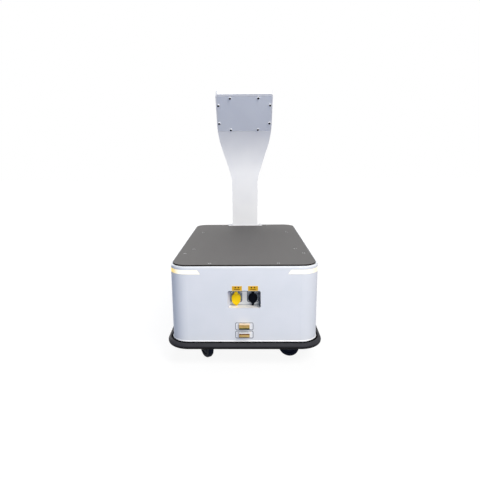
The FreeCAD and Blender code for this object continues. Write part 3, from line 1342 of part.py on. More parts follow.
def check_and_write():
    """Stop on a failed feature or a bad shape, then write one file for each node."""
    doc.recompute()
    for thing in doc.Objects:
        if "Invalid" in thing.State or "Error" in thing.State:
            raise RuntimeError("failed: %s %s" % (thing.Name, thing.State))
    os.makedirs("parts", exist_ok=True)
    total = 0
    for node in NODES:
        shape = node.Shape
        if shape.isNull() or not shape.isValid() or not shape.Solids:
            raise RuntimeError("bad shape: " + node.Label)
        shape.exportStep("parts/%s.step" % node.Label)
        total += 1
    print("nodes written:", total)


build()
check_and_write()
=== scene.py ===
# %% [markdown]
# # A small transport robot, dressed for a picture
# The robot is a low white box on casters with a dark loading deck, a rubber bumper round its foot
# and a mast that carries a screen. All the hard parts come from a CAD model as a fixed frame, so this
# lesson spends its time on two things: what each surface is made of, and the small parts, such as
# screws, caps and contacts, that give a machine its scale.

# %% Load the frame and note the size
import math

import bmesh
import bpy
from mathutils import Matrix, Vector


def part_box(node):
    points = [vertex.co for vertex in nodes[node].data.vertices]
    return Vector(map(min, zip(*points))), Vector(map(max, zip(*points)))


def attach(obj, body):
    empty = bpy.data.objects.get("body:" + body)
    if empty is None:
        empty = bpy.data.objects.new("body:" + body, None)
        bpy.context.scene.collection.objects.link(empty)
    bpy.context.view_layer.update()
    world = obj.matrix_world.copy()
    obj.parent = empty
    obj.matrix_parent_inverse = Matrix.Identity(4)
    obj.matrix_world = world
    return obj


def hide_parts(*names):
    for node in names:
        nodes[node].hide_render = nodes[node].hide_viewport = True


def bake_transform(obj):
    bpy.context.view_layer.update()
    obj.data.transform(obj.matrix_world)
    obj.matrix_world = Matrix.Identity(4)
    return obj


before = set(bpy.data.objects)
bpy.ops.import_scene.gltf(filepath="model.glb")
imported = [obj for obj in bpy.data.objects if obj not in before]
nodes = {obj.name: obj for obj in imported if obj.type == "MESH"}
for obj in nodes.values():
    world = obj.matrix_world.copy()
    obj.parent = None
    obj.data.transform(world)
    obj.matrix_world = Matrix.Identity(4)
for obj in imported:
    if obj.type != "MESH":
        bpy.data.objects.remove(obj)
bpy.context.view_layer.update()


# %% [markdown]
# Colours are written as sRGB hex, which is how a paint chart or a colour picker gives them. Blender's
# shaders work in linear light, so one function turns the first into the second. Sizes are easier to
# read in millimetres, so there is one name for that as well.

# %% Colours and millimetres
MM = 0.001


def colour(hex_code):
    """An sRGB hex colour as the linear RGBA that a shader takes."""
    channels = [int(hex_code[i : i + 2], 16) / 255 for i in (1, 3, 5)]
    linear = [c / 12.92 if c <= 0.04045 else ((c + 0.055) / 1.055) ** 2.4 for c in channels]
    return (*linear, 1.0)


print("mid grey #808080 is", [round(c, 3) for c in colour("#808080")])

# %% [markdown]
# A material is a small network of nodes. One function adds any node: it takes the node's type, its
# settings, the stops if it is a colour ramp, and for each input either a value or the output of
# another node. With that, a network reads like a list of steps. A second function starts a material
# with the two nodes that every network needs.

# %% One function for every node


def add_node(tree, kind, settings=None, stops=(), **inputs):
    """Adds a node. Each input, named with _ for a space, gets a value or another node's output, and
    each stop of a colour ramp is a position and a hex colour."""
    node = tree.nodes.new("ShaderNode" + kind)
    for name, value in (settings or {}).items():
        setattr(node, name, value)
    for k, (position, hex_code) in enumerate(stops):
        node.color_ramp.elements[k].position = position
        node.color_ramp.elements[k].color = colour(hex_code)
    for name, value in inputs.items():
        key = int(name[1:]) if name[0] == "i" and name[1:].isdigit() else name.replace("_", " ")
        if isinstance(value, bpy.types.NodeSocket):
            tree.links.new(value, node.inputs[key])
        else:
            node.inputs[key].default_value = value
    return node


def start_material(name):
    """A material with an empty network, its output node and the object's own coordinates."""
    material = bpy.data.materials.new(name)
    material.use_nodes = True
    tree = material.node_tree
    tree.nodes.clear()
    output = tree.nodes.new("ShaderNodeOutputMaterial")
    place = tree.nodes.new("ShaderNodeTexCoord").outputs["Object"]
    return material, tree, output, place


def per_mm(size):
    """The scale of a pattern whose grains are this many millimetres wide."""
    return 1 / (size * MM)


print("a 2 mm grain needs a scale of", per_mm(2))

# %% [markdown]
# The shell is folded sheet steel under white powder coat. The powder melts into a satin skin with a
# faint orange peel, waves about two millimetres wide, so highlights break up softly. A very weak
# cloudiness in the colour and the gloss keeps large faces from looking like plain fill.

# %% Powder-coated steel


def powder_coat(name, paint, shade, gloss=0.42, peel=2.2, peel_height=0.02, cloud=90):
    """Satin powder coat: two close tones in slow clouds, orange peel in the bump."""
    material, tree, output, place = start_material(name)
    slow = add_node(tree, "TexNoise", Vector=place, Scale=per_mm(cloud), Detail=2.0)
    tone = add_node(tree, "ValToRGB", stops=[(0.35, shade), (0.65, paint)], Fac=slow.outputs["Fac"])
    waves = add_node(tree, "TexNoise", Vector=place, Scale=per_mm(peel), Detail=1.5)
    bump = add_node(tree, "Bump", Height=waves.outputs["Fac"], Distance=peel_height * MM, Strength=0.6)
    rough = add_node(tree, "MapRange", Value=slow.outputs["Fac"], To_Min=gloss - 0.04, To_Max=gloss + 0.06)
    surface = add_node(
        tree, "BsdfPrincipled", Base_Color=tone.outputs["Color"], Roughness=rough.outputs["Result"],
        Normal=bump.outputs["Normal"], IOR=1.5,
    )
    tree.links.new(surface.outputs["BSDF"], output.inputs["Surface"])
    return material


white_coat = powder_coat("powder_coat_signal_white", "#dadde2", "#d6dadf")
mast_coat = powder_coat("powder_coat_pure_white", "#ecedef", "#e8e9ec")
# The access plate wears the mast's white made greyer and bluer: painted shade for a plate that faces down.
head_shade_coat = powder_coat("powder_coat_white_painted_shade", "#dde1e8", "#d9dde5")
frame_coat = powder_coat("powder_coat_black", "#1b1c1f", "#212226", gloss=0.5)
print("powder coats:", [m.name for m in (white_coat, mast_coat, head_shade_coat, frame_coat)])

# %% [markdown]
# The loading deck wears a coarse textured coat, the kind used where boxes slide: tiny hard grains about
# a millimetre apart that scatter the light, so the dark deck looks mid grey from a low angle. Slow
# streaks along its length are where loads have slid on and off.

# %% Textured deck coat


def textured_coat(name, paint, shade, grain=1.1, grain_height=0.12, streak=60, stretch=6):
    """A matt coat with hard grains, a little polished in long streaks."""
    material, tree, output, place = start_material(name)
    long_place = add_node(tree, "Mapping", {"vector_type": "TEXTURE"}, Vector=place, Scale=(1, stretch, 1))
    streaks = add_node(
        tree, "TexNoise", Vector=long_place.outputs["Vector"], Scale=per_mm(streak), Detail=4.0,
    )
    tone = add_node(tree, "ValToRGB", stops=[(0.3, shade), (0.7, paint)], Fac=streaks.outputs["Fac"])
    grains = add_node(tree, "TexVoronoi", Vector=place, Scale=per_mm(grain))
    bump = add_node(
        tree, "Bump", {"invert": True}, Height=grains.outputs["Distance"], Distance=grain_height * MM,
        Strength=0.5,
    )
    rough = add_node(tree, "MapRange", Value=streaks.outputs["Fac"], To_Min=0.5, To_Max=0.66)
    surface = add_node(
        tree, "BsdfPrincipled", Base_Color=tone.outputs["Color"], Roughness=rough.outputs["Result"],
        Normal=bump.outputs["Normal"], IOR=1.5,
    )
    tree.links.new(surface.outputs["BSDF"], output.inputs["Surface"])
    return material


deck_coat = textured_coat("textured_coat_graphite", "#474544", "#413f3e")
print("deck coat:", deck_coat.name)

# %% [markdown]
# Rubber and plastics are moulded. A moulded part copies its tool, so it carries the tool's fine spark
# texture. Rubber is dull, nylon and ABS are a little glossier, and the caps are soft and slightly
# waxy. One recipe serves them all, with the texture's size and the gloss as its settings. A black part
# gets little shine, because the white room's reflection alone would turn it grey.

# %% Moulded rubber and plastics


def moulded(name, tint, worn, gloss, grain=0.5, grain_height=0.03, patch=35, coat=0.0, shine=0.5):
    """A moulded part: spark texture in the bump, patches a little paler from handling."""
    material, tree, output, place = start_material(name)
    patches = add_node(tree, "TexNoise", Vector=place, Scale=per_mm(patch), Detail=3.0)
    tone = add_node(tree, "ValToRGB", stops=[(0.4, tint), (0.8, worn)], Fac=patches.outputs["Fac"])
    spark = add_node(tree, "TexNoise", Vector=place, Scale=per_mm(grain), Detail=2.0)
    bump = add_node(tree, "Bump", Height=spark.outputs["Fac"], Distance=grain_height * MM, Strength=0.5)
    rough = add_node(tree, "MapRange", Value=patches.outputs["Fac"], To_Min=gloss - 0.05, To_Max=gloss + 0.08)
    surface = add_node(
        tree, "BsdfPrincipled", Base_Color=tone.outputs["Color"], Roughness=rough.outputs["Result"],
        Normal=bump.outputs["Normal"], IOR=1.5, Coat_Weight=coat, Specular_IOR_Level=shine,
    )
    tree.links.new(surface.outputs["BSDF"], output.inputs["Surface"])
    return material


bumper_rubber = moulded(
    "epdm_rubber_bumper", "#36363a", "#3b3b3f", 0.5, grain=0.9, grain_height=0.05, shine=0.06,
)
tyre_rubber = moulded("polyurethane_tyre", "#0b0f1d", "#0f1424", 0.42, grain=1.2, shine=0.04)
nylon_black = moulded("moulded_nylon_black", "#0b0e1a", "#0f1320", 0.45, shine=0.05)
cap_black = moulded("moulded_cap_black", "#05080f", "#080b14", 0.5, shine=0.03)
cap_yellow = moulded("moulded_cap_yellow", "#efc900", "#e6be00", 0.45, shine=0.2)
stop_red = moulded("moulded_abs_red", "#b3161b", "#c22a2a", 0.3, coat=0.3)
bezel_yellow = moulded("moulded_abs_yellow", "#e8b90c", "#dfb010", 0.38)
holder_white = moulded("moulded_abs_white", "#dfe3ea", "#e6e9ef", 0.4)
case_dark = moulded("moulded_abs_anthracite", "#2c2e33", "#34363c", 0.5, grain=0.8)
print("moulded parts:", len([m for m in bpy.data.materials if "moulded" in m.name or "rubber" in m.name]))

# %% [markdown]
# Round the bumper's foot, where the rubber curls in and faces the floor, its colour is darkened as painted
# shade. This is a step of its own: it takes the colour that the finish has, and fades it to near-black
# between two heights above the floor.

# %% Painted shade at the bumper's foot


def paint_low_shade(material, shade_starts_at, full_shade_at, shade_colour="#030305"):
    """Paints shade over a finish: none above one height in millimetres, full below the other."""
    tree = material.node_tree
    surface, place = tree.nodes["Principled BSDF"], tree.nodes["Texture Coordinate"].outputs["Object"]
    height = add_node(tree, "SeparateXYZ", Vector=place).outputs["Z"]
    share = add_node(tree, "MapRange", Value=height, From_Min=shade_starts_at * MM, From_Max=full_shade_at * MM)
    base = surface.inputs["Base Color"]
    shaded_base = add_node(
        tree, "MixRGB", Fac=share.outputs["Result"], Color1=base.links[0].from_socket, Color2=colour(shade_colour),
    )
    tree.links.new(shaded_base.outputs["Color"], base)


# Painted shade on the bumper's lower band, none above 73 mm and full at 67 mm.
paint_low_shade(bumper_rubber, shade_starts_at=73, full_shade_at=67)
print("dirt lies on", bumper_rubber.name)

# %% [markdown]
# Bare metals differ in colour and in how they were worked. Zinc plate is a cold grey with a broken
# sheen, die-cast zinc is darker and rougher, milled brass has fine tool lines and a warm tarnish, and
# anodised aluminium is even and pale. All are fully metallic, and their lines are stretched noise,
# drawn as coarse as they need to show.

# %% Bare metals


def worked_metal(name, bright, dull, gloss, line=0.4, stretch=(1, 1, 1), line_height=0.02, patch=25):
    """A metal with tool lines along one axis and slow patches of tarnish."""
    material, tree, output, place = start_material(name)
    patches = add_node(tree, "TexNoise", Vector=place, Scale=per_mm(patch), Detail=4.0)
    tone = add_node(tree, "ValToRGB", stops=[(0.35, dull), (0.6, bright)], Fac=patches.outputs["Fac"])
    along = add_node(tree, "Mapping", {"vector_type": "TEXTURE"}, Vector=place, Scale=stretch)
    lines = add_node(tree, "TexNoise", Vector=along.outputs["Vector"], Scale=per_mm(line), Detail=1.0)
    bump = add_node(tree, "Bump", Height=lines.outputs["Fac"], Distance=line_height * MM, Strength=0.5)
    rough = add_node(tree, "MapRange", Value=patches.outputs["Fac"], To_Min=gloss + 0.1, To_Max=gloss - 0.05)
    surface = add_node(
        tree, "BsdfPrincipled", Base_Color=tone.outputs["Color"], Roughness=rough.outputs["Result"],
        Normal=bump.outputs["Normal"], Metallic=1.0,
    )
    tree.links.new(surface.outputs["BSDF"], output.inputs["Surface"])
    return material


zinc = worked_metal("zinc_plated_steel", "#b4b6b9", "#8f9297", 0.32, stretch=(1, 12, 1))
stainless = worked_metal("stainless_screw_steel", "#cfcfd0", "#b0b1b3", 0.25, line=0.3)
brass = worked_metal("milled_brass", "#bda36a", "#a38752", 0.34, line=0.5, stretch=(14, 1, 1))
aluminium = worked_metal("anodised_aluminium", "#b9bbbf", "#a6a8ad", 0.36)
black_oxide = worked_metal("black_oxide_steel", "#2a2b2f", "#1c1d21", 0.45)
spring_steel = worked_metal("oiled_spring_steel", "#4a4c50", "#35373b", 0.35)
flange_metal = worked_metal("die_cast_flange_zinc", "#6f7783", "#59616d", 0.42, line=0.8)
print("metals:", [m.name for m in (zinc, stainless, brass, aluminium, spring_steel, flange_metal)])

# %% [markdown]
# The corner lights are frosted polycarbonate over warm white LEDs. From outside one sees the lit
# plastic itself: nearly white along the bar, and warmer toward the corners, where the strip's light
# travels through more plastic. Distance from the robot's middle plane drives that change. The left
# light has yellowed more with age than the right, so the change is full there and weaker on the right.

# %% Lit diffusers and printed labels


def lit_diffuser(
    name, core, end, strength, pale_to=188, warm_from=225, side_blend=150, right_share=0.35, grain=4,
):
    """Frosted plastic lit from behind. Its changes are placed in millimetres from the middle plane."""
    material, tree, output, place = start_material(name)
    parts = add_node(tree, "SeparateXYZ", Vector=place)
    across = add_node(tree, "Math", {"operation": "ABSOLUTE"}, i0=parts.outputs["X"])
    reach = add_node(
        tree, "MapRange", {"interpolation_type": "SMOOTHSTEP"}, Value=across.outputs["Value"],
        From_Min=pale_to * MM, From_Max=warm_from * MM,
    )
    side = add_node(
        tree, "MapRange", Value=parts.outputs["X"], From_Min=-side_blend * MM, From_Max=side_blend * MM,
        To_Min=1.0, To_Max=right_share,
    )
    aged = add_node(
        tree, "Math", {"operation": "MULTIPLY"}, i0=reach.outputs["Result"], i1=side.outputs["Result"],
    )
    frost = add_node(tree, "TexNoise", Vector=place, Scale=per_mm(grain), Detail=2.0)
    blend = add_node(
        tree, "Math", {"operation": "MULTIPLY_ADD"}, i0=frost.outputs["Fac"], i1=0.1,
        i2=aged.outputs["Value"],
    )
    tone = add_node(tree, "ValToRGB", stops=[(0.15, core), (0.9, end)], Fac=blend.outputs["Value"])
    surface = add_node(
        tree, "BsdfPrincipled", Base_Color=colour("#8f8a7c"), Roughness=0.35, Specular_IOR_Level=0.2,
        Emission_Color=tone.outputs["Color"], Emission_Strength=strength,
    )
    tree.links.new(surface.outputs["BSDF"], output.inputs["Surface"])
    return material


diffuser = lit_diffuser("frosted_polycarbonate_lit", "#fffbf0", "#f2cf55", 0.9)
label_vinyl = moulded(
    "printed_vinyl_orange", "#cfa012", "#c8980e", 0.5, grain=0.8, grain_height=0.01, shine=0.3,
)
print("diffuser:", diffuser.name, "label:", label_vinyl.name)

# %% [markdown]
# The screen and the scanner's window are dark and smooth: hardened glass over a black mask, and
# acrylic tinted so that only infrared passes. Both are near-black gloss with a few fine smears,
# which break the reflection where hands have been.

# %% Dark glass and tinted acrylic


def dark_gloss(name, tint, smear_gloss, ior, smear=45):
    """A near-black glossy sheet whose roughness rises in soft smears."""
    material, tree, output, place = start_material(name)
    smears = add_node(tree, "TexNoise", Vector=place, Scale=per_mm(smear), Detail=5.0, Distortion=1.5)
    rough = add_node(
        tree, "MapRange", Value=smears.outputs["Fac"], From_Min=0.4, From_Max=0.75, To_Min=0.03,
        To_Max=smear_gloss,
    )
    tone = add_node(tree, "MixRGB", Fac=smears.outputs["Fac"], Color1=colour(tint), Color2=colour("#15171b"))
    surface = add_node(
        tree, "BsdfPrincipled", Base_Color=tone.outputs["Color"], Roughness=rough.outputs["Result"], IOR=ior,
    )
    tree.links.new(surface.outputs["BSDF"], output.inputs["Surface"])
    return material


screen_glass = dark_gloss("hardened_glass_black", "#08090b", 0.18, 1.52)
window_acrylic = dark_gloss("tinted_acrylic", "#120a0c", 0.12, 1.49)
print("dark sheets:", screen_glass.name, window_acrylic.name)

# %% [markdown]
# Now each CAD part gets its finish. The table reads like a parts list: one finish, then the parts that
# wear it. The CAD meshes stay as they are, and only their material slots change.

# %% Dress the CAD parts
FINISHES = [
    (white_coat, "body_shell socket_recess"),
    (mast_coat, "mast_shell mast_cover mast_foot"),
    (head_shade_coat, "head_plate"),
    (deck_coat, "deck_plate"),
    (frame_coat, "bumper_frame chassis_plate deck_rails frame_posts suspension_brackets"),
    (bumper_rubber, "bumper"),
    (tyre_rubber, "drive_tyre_left drive_tyre_right"),
    (holder_white, "display_unit"),
    (nylon_black, "scanner"),
    (diffuser, "light_bars_front light_bars_rear"),
    (label_vinyl, "socket_labels"),
    (zinc, "caster_plates arm_pins lid_pins motor_axle_left motor_axle_right"),
    (flange_metal, "socket_left socket_right"),
    (stainless, "head_plate_screws deck_screws mast_screws"),
    (cap_yellow, "socket_lid_left"),
    (cap_black, "socket_lid_right"),
    (holder_white, "contact_holders"),
    (brass, "charge_contacts"),
    (screen_glass, "display_glass"),
    (window_acrylic, "scanner_window"),
    (bezel_yellow, "button_bezels"),
    (stop_red, "stop_button"),
    (case_dark, "battery power_button"),
    (aluminium, "controller motor_driver hub_motor_left hub_motor_right swing_arm_left swing_arm_right"),
    (spring_steel, "suspension_spring_left suspension_spring_right"),
]
corners = [f"{end}_{side}" for end in ("front", "rear") for side in ("left", "right")]
for finish, part in ((nylon_black, "fork"), (tyre_rubber, "wheel"), (black_oxide, "axle")):
    FINISHES.append((finish, " ".join(f"caster_{part}_{corner}" for corner in corners)))
dressed = []
for finish, names in FINISHES:
    for name in names.split():
        slots = nodes[name].data.materials
        slots.clear()
        slots.append(finish)
        dressed.append(name)
print("dressed", len(dressed), "parts, left out:", sorted(set(nodes) - set(dressed)))

# %% [markdown]
# Small parts give a machine its scale, and most of them are turned: screws, caps, bolts. A turned part
# is a stack of rings, each with a radius and a height. If a ring may also be a hexagon, the same stack
# makes a hex socket. The rings become loops of points, and a skin of four-sided faces joins each loop
# to the next. Every later part that is swept or layered gets its skin from the same function.

# %% Turned parts


def skin(mesh, loops, closed=False):
    """Joins each loop to the next, and the last to the first if closed. Gives the faces, band by band."""
    bands = []
    for here, there in zip(loops, loops[1:] + loops[: int(closed)]):
        pairs = list(zip(here, there))
        bands.append([
            mesh.faces.new((a, b, next_b, next_a))
            for (a, b), (next_a, next_b) in zip(pairs, pairs[1:] + pairs[:1])
        ])
    return bands


def ring_radius(radius, sides, angle):
    """Distance to the outline at this angle: a circle, or a polygon with its corners at radius."""
    if not sides:
        return radius
    half = math.pi / sides
    return radius * math.cos(half) / math.cos((angle + half) % (2 * half) - half)


def stack(rings, steps=24):
    """A mesh from rings (radius, height) in millimetres, closed at both ends. A ring may add how many
    sides its outline has, 0 for a circle, and which of the piece's finishes the band above it wears."""
    mesh = bmesh.new()
    rings = [(*ring, 0, 0)[:4] for ring in rings]
    loops = []
    for radius, height, sides, _ in rings:
        loop = []
        for step in range(steps):
            angle = 2 * math.pi * step / steps
            reach = ring_radius(radius * MM, sides, angle)
            loop.append(mesh.verts.new((reach * math.cos(angle), reach * math.sin(angle), height * MM)))
        loops.append(loop)
    for ring, band in zip(rings, skin(mesh, loops)):
        for face in band:
            face.material_index = ring[3]
    mesh.faces.new(loops[0][::-1]).material_index = rings[0][3]
    mesh.faces.new(loops[-1]).material_index = rings[-1][3]
    return mesh


print("a hexagon with its corners at 5 mm has its flats at", round(ring_radius(5, 6, 0), 2), "mm")

# %% [markdown]
# A mesh becomes a piece when it has its finishes and a body to ride on. Pieces are built at their place
# in the robot's own frame, like the CAD parts, so patterns in their materials keep their size. Equal
# small parts are stamped into one mesh, which keeps the list of pieces short.

# %% From a mesh to a piece


def settle(name, mesh, finishes, body, replaced=(), crease=35):
    """Makes a piece: finishes, smooth shading with creases, the body it rides on and what it replaces."""
    bmesh.ops.recalc_face_normals(mesh, faces=mesh.faces)
    data = bpy.data.meshes.new(name)
    mesh.to_mesh(data)
    mesh.free()
    data.shade_smooth()
    data.set_sharp_from_angle(angle=math.radians(crease))
    for finish in finishes:
        data.materials.append(finish)
    piece = bpy.data.objects.new(name, data)
    bpy.context.scene.collection.objects.link(piece)
    if body:
        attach(piece, body)
    if replaced:
        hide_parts(*replaced)
    return piece


def add_mesh(whole, part, *places):
    """Adds a part to a mesh, once for each place (a 4 x 4 matrix), or once as it is."""
    source = bpy.data.meshes.new("part")
    part.to_mesh(source)
    part.free()
    for matrix in places or (Matrix.Identity(4),):
        first = len(whole.verts)
        whole.from_mesh(source)
        whole.verts.ensure_lookup_table()
        bmesh.ops.transform(whole, matrix=matrix, verts=whole.verts[first:])
    bpy.data.meshes.remove(source)
    return whole


def stamp(template, places):
    """One mesh that repeats the template at each place."""
    return add_mesh(bmesh.new(), template, *places)


print("finishes ready for pieces:", len(bpy.data.materials))

# %% [markdown]
# The CAD says where each screw, contact and label sits, but it keeps equal ones together as one part.
# Corners that edges connect belong to one solid, so walking along the edges takes the part apart again.

# %% The CAD's separate solids


def solids_in(node):
    """The separate solids of a CAD part, each as a list of its corners."""
    mesh = bmesh.new()
    mesh.from_mesh(nodes[node].data)
    bmesh.ops.remove_doubles(mesh, verts=mesh.verts, dist=0.02 * MM)
    left = set(mesh.verts)
    groups = []
    for first in mesh.verts:
        if first not in left:
            continue
        left.remove(first)
        front, group = [first], []
        while front:
            vert = front.pop()
            group.append(vert.co.copy())
            for edge in vert.link_edges:
                other = edge.other_vert(vert)
                if other in left:
                    left.remove(other)
                    front.append(other)
        groups.append(group)
    mesh.free()
    return sorted(groups, key=lambda g: (round(g[0].z, 2), round(g[0].x, 2)))


def extent(points):
    """The lowest and the highest corner of the box round some points."""
    return [Vector([pick(point[k] for point in points) for k in range(3)]) for pick in (min, max)]


def seats(node, axis):
    """Where each of a part's screws sits: its axis, and the lowest point along it, as a matrix."""
    axis = Vector(axis).normalized()
    turn = Vector((0, 0, 1)).rotation_difference(axis).to_matrix().to_4x4()
    places = []
    for group in solids_in(node):
        lowest, highest = extent(group)
        middle = (lowest + highest) / 2
        depth = min((point - middle).dot(axis) for point in group)
        places.append(Matrix.Translation(middle + axis * depth) @ turn)
    return places


print("mast screws sit at", [[round(v, 4) for v in m.translation] for m in seats("mast_screws", (0, 0, 1))])

# %% [markdown]
# The mast's foot is held by button-head screws: a low dome, 9.5 mm across, with a hex socket. The dome is
# bright stainless steel, and the socket is painted near-black, as shade in its hollow. The access plate
# stands off on white nylon cups 3 mm high, each with a small black screw: from above one sees the pale side
# of the cup as a crescent over a dark dot. The plate leans, so its screws need the plate's own direction,
# which the largest faces of the CAD plate give. Each screw hangs a little low in its hole, down the plate.

# %% Button-head screws
leaning = Vector()
for face in nodes["head_plate"].data.polygons:
    if face.normal.y < -0.5 and face.normal.z < -0.2:  # the outer face looks back and down
        leaning += face.normal * face.area
leaning.normalize()
down_the_plate = (leaning * leaning.z - Vector((0, 0, 1))).normalized()
hole_play = 0.4
button_rings = [
    (4.75, 0.0), (4.75, 0.35), (4.6, 0.9), (4.4, 1.5), (4.2, 2.0), (3.9, 2.3),
    (3.7, 2.4, 6, 1), (3.6, 2.1, 6, 1), (3.6, 0.5, 6, 1), (0.4, 0.4, 6, 1),
]
cup_rings = [(4.75, 0.0), (4.75, 2.8), (4.4, 3.2), (3.0, 3.3)]
hung_rings = [
    (4.3, 3.2), (4.3, 3.9), (3.9, 4.3), (3.0, 4.4), (2.8, 4.4, 6, 1), (2.8, 3.6, 6, 1), (0.4, 3.5, 6, 1),
]
# The sockets' near-black is painted shade in their hollows.
socket_shade_paint = moulded("socket_painted_shadow", "#08080a", "#0d0d10", 0.7, shine=0.1)
spacer_nylon = moulded("moulded_nylon_spacer", "#fafafb", "#f5f5f7", 0.4)
screw_black = moulded("painted_black_screw", "#0c0e14", "#12151c", 0.5, shine=0.12)

plate_seats = seats("head_plate_screws", leaning)
hung_seats = [Matrix.Translation(down_the_plate * hole_play * MM) @ seat for seat in plate_seats]
settle("plate_spacer_cups", stamp(stack(cup_rings), plate_seats), [spacer_nylon], "chassis")
settle(
    "plate_button_screws", stamp(stack(hung_rings), hung_seats), [screw_black, socket_shade_paint], "chassis",
    ["head_plate_screws"],
)
settle(
    "foot_button_screws", stamp(stack(button_rings), seats("mast_screws", (0, 0, 1))),
    [stainless, socket_shade_paint], "chassis", ["mast_screws"],
)
print("plate leans by", round(math.degrees(math.asin(-leaning.z)), 1), "degrees")

# %% [markdown]
# The deck's screws are flush, so that a box slides over them: a flat countersunk head with the same hex
# socket. The head is a touch lower than the deck, which leaves a thin dark ring where it sits.

# %% Countersunk deck screws
sunk_rings = [
    (4.6, 0.0), (5.0, 2.0), (4.9, 2.25), (2.7, 2.3), (2.5, 2.25, 6, 1), (2.3, 0.5, 6, 1), (0.4, 0.3, 6, 1),
]
deck_seats = seats("deck_screws", (0, 0, 1))
settle(
    "deck_countersunk_screws", stamp(stack(sunk_rings), deck_seats), [stainless, socket_shade_paint], "chassis",
    ["deck_screws"],
)
print("deck screws:", len(deck_seats))

# %% [markdown]
# Many trims follow a rounded rectangle: the hem of the shell, the lip of the bumper, the seals round
# the charging slots. So a second builder sweeps a small profile round such a loop. The profile gives
# steps outward and steps along the loop's axis, and each corner is an arc.

# %% Sweeping round a rounded rectangle


def rounded_loop(half_x, half_y, corner, steps=10):
    """Points of a rounded rectangle, each with its outward direction."""
    loop = []
    for quarter, (sx, sy) in enumerate(((1, 1), (-1, 1), (-1, -1), (1, -1))):
        for step in range(steps + 1):
            angle = math.pi / 2 * (quarter + step / steps)
            out = Vector((math.cos(angle), math.sin(angle), 0))
            centre = Vector((sx * (half_x - corner), sy * (half_y - corner), 0))
            loop.append((centre + out * corner, out))
    return loop


def swept_ring(half_x, half_y, corner, profile, matrix=Matrix.Identity(4), steps=10):
    """A closed profile of (outward, along) in millimetres, swept round the loop. Sizes are in metres."""
    mesh = bmesh.new()
    loops = [
        [mesh.verts.new(matrix @ (point + out * a * MM + Vector((0, 0, b * MM)))) for a, b in profile]
        for point, out in rounded_loop(half_x, half_y, corner, steps)
    ]
    skin(mesh, loops, closed=True)
    return mesh


print("a loop has", len(rounded_loop(1.0, 1.0, 0.1)), "points")

# %% [markdown]
# The shell's lower edge is hemmed: the sheet is folded back on itself so that nobody meets a raw edge.
# The fold makes a small bead all round, and it catches the light as a thin bright line above the bumper. The
# bumper has a near-black lip of its own there, painted shade where the shell's edge shades the bumper's top.

# %% Hem and bumper lip
shell_low, shell_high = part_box("body_shell")
bumper_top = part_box("bumper")[1].z
corner_radius = 53 * MM


def round_the_shell(profile, height):
    """Sweeps a profile round the outside of the shell at a height."""
    return swept_ring(shell_high.x, shell_high.y, corner_radius, profile, Matrix.Translation((0, 0, height)))


bead = [(-0.4, 0.0), (0.8, 0.0), (1.6, 0.7), (1.7, 1.5), (1.1, 2.9), (0.0, 4.0), (-0.4, 4.0)]
# The bead wears the mast's brighter white rather than the shell's own coat, a painted highlight on top of the
# light it catches.
settle("shell_hem_bead", round_the_shell(bead, shell_low.z), [mast_coat], "chassis")
lip_profile = [(-1.0, -0.4), (6.2, -0.4), (6.6, 0.2), (6.0, 0.7), (0.2, 0.8), (-1.0, 0.6)]
# The lip's near-black is painted shade under the shell's edge.
lip_shade_paint = moulded("rubber_lip_painted_shade", "#030304", "#060608", 0.75, grain=0.9, shine=0.02)
settle("bumper_lip", round_the_shell(lip_profile, bumper_top), [lip_shade_paint], "chassis")
print("hem at", round(shell_low.z / MM, 1), "mm, lip at", round(bumper_top / MM, 1), "mm")

# %% [markdown]
# The deck is cut from sheet. Its edge wears a brown-black film, painted shade on the edge's upright face,
# which draws a thin dark line between the grey deck and the white rim.

# %% Painted shade on the deck's edge
# The brown-black film is painted shade on the deck's upright edge.
deck_edge_shade_paint = moulded("edge_film_painted_shade", "#15100d", "#1c1511", 0.6, shine=0.04)
deck_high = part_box("deck_plate")[1]
deck_corner = 46.5 * MM
edge_profile = [(-0.2, -4.0), (0.25, -4.0), (0.25, -0.2), (-0.2, -0.2)]
deck_edge = settle(
    "deck_edge_shade_film",
    swept_ring(deck_high.x, deck_high.y, deck_corner, edge_profile, Matrix.Translation((0, 0, deck_high.z))),
    [deck_edge_shade_paint], "chassis",
)
print("deck edge sealed,", len(deck_edge.data.polygons), "faces")

# %% [markdown]
# Two slots in the rear wall hold the charging contacts. Each holder sits in its slot with a soft seal
# round it, and that seal is the thin grey outline one sees. A seal is the same sweep, stood upright
# by a turn about X so that its axis points out of the wall.

# %% Seals round the charging slots
seal_rubber = moulded("epdm_rubber_seal", "#3e4350", "#484d5a", 0.6, grain=0.9, shine=0.2)
wall_y = shell_low.y
upright = Matrix.Rotation(math.pi / 2, 4, "X")
slot_half = Vector((27.0, 11.7)) * MM
slot_corner = 4 * MM
seal_profile = [(-1.1, -0.8), (0.35, -0.8), (0.35, 0.35), (-0.4, 0.55), (-1.1, 0.35)]
slot_groups = solids_in("contact_holders")
seal_mesh = bmesh.new()
for group in slot_groups:
    lowest, highest = extent(group)
    seat = Matrix.Translation((0, wall_y, (lowest.z + highest.z) / 2)) @ upright
    add_mesh(seal_mesh, swept_ring(*slot_half, slot_corner, seal_profile, seat, steps=5))
settle("slot_seals", seal_mesh, [seal_rubber], "chassis")
print("seals round", len(slot_groups), "slots")

# %% [markdown]
# The two labels above the sockets carry a plain pictogram in dark ink: two contact dots over a rule.
# Ink lies a twentieth of a millimetre proud of the vinyl, and the vinyl has a pale cut edge, which is
# the bright outline that a sticker shows against paint.

# %% Printed pictograms


def slab(mesh, centre, size):
    """Adds a small block to a mesh: its centre in metres, its size in millimetres."""
    corners = bmesh.ops.create_cube(mesh, size=1.0)["verts"]
    bmesh.ops.scale(mesh, vec=[side * MM for side in size], verts=corners)
    bmesh.ops.translate(mesh, vec=centre, verts=corners)


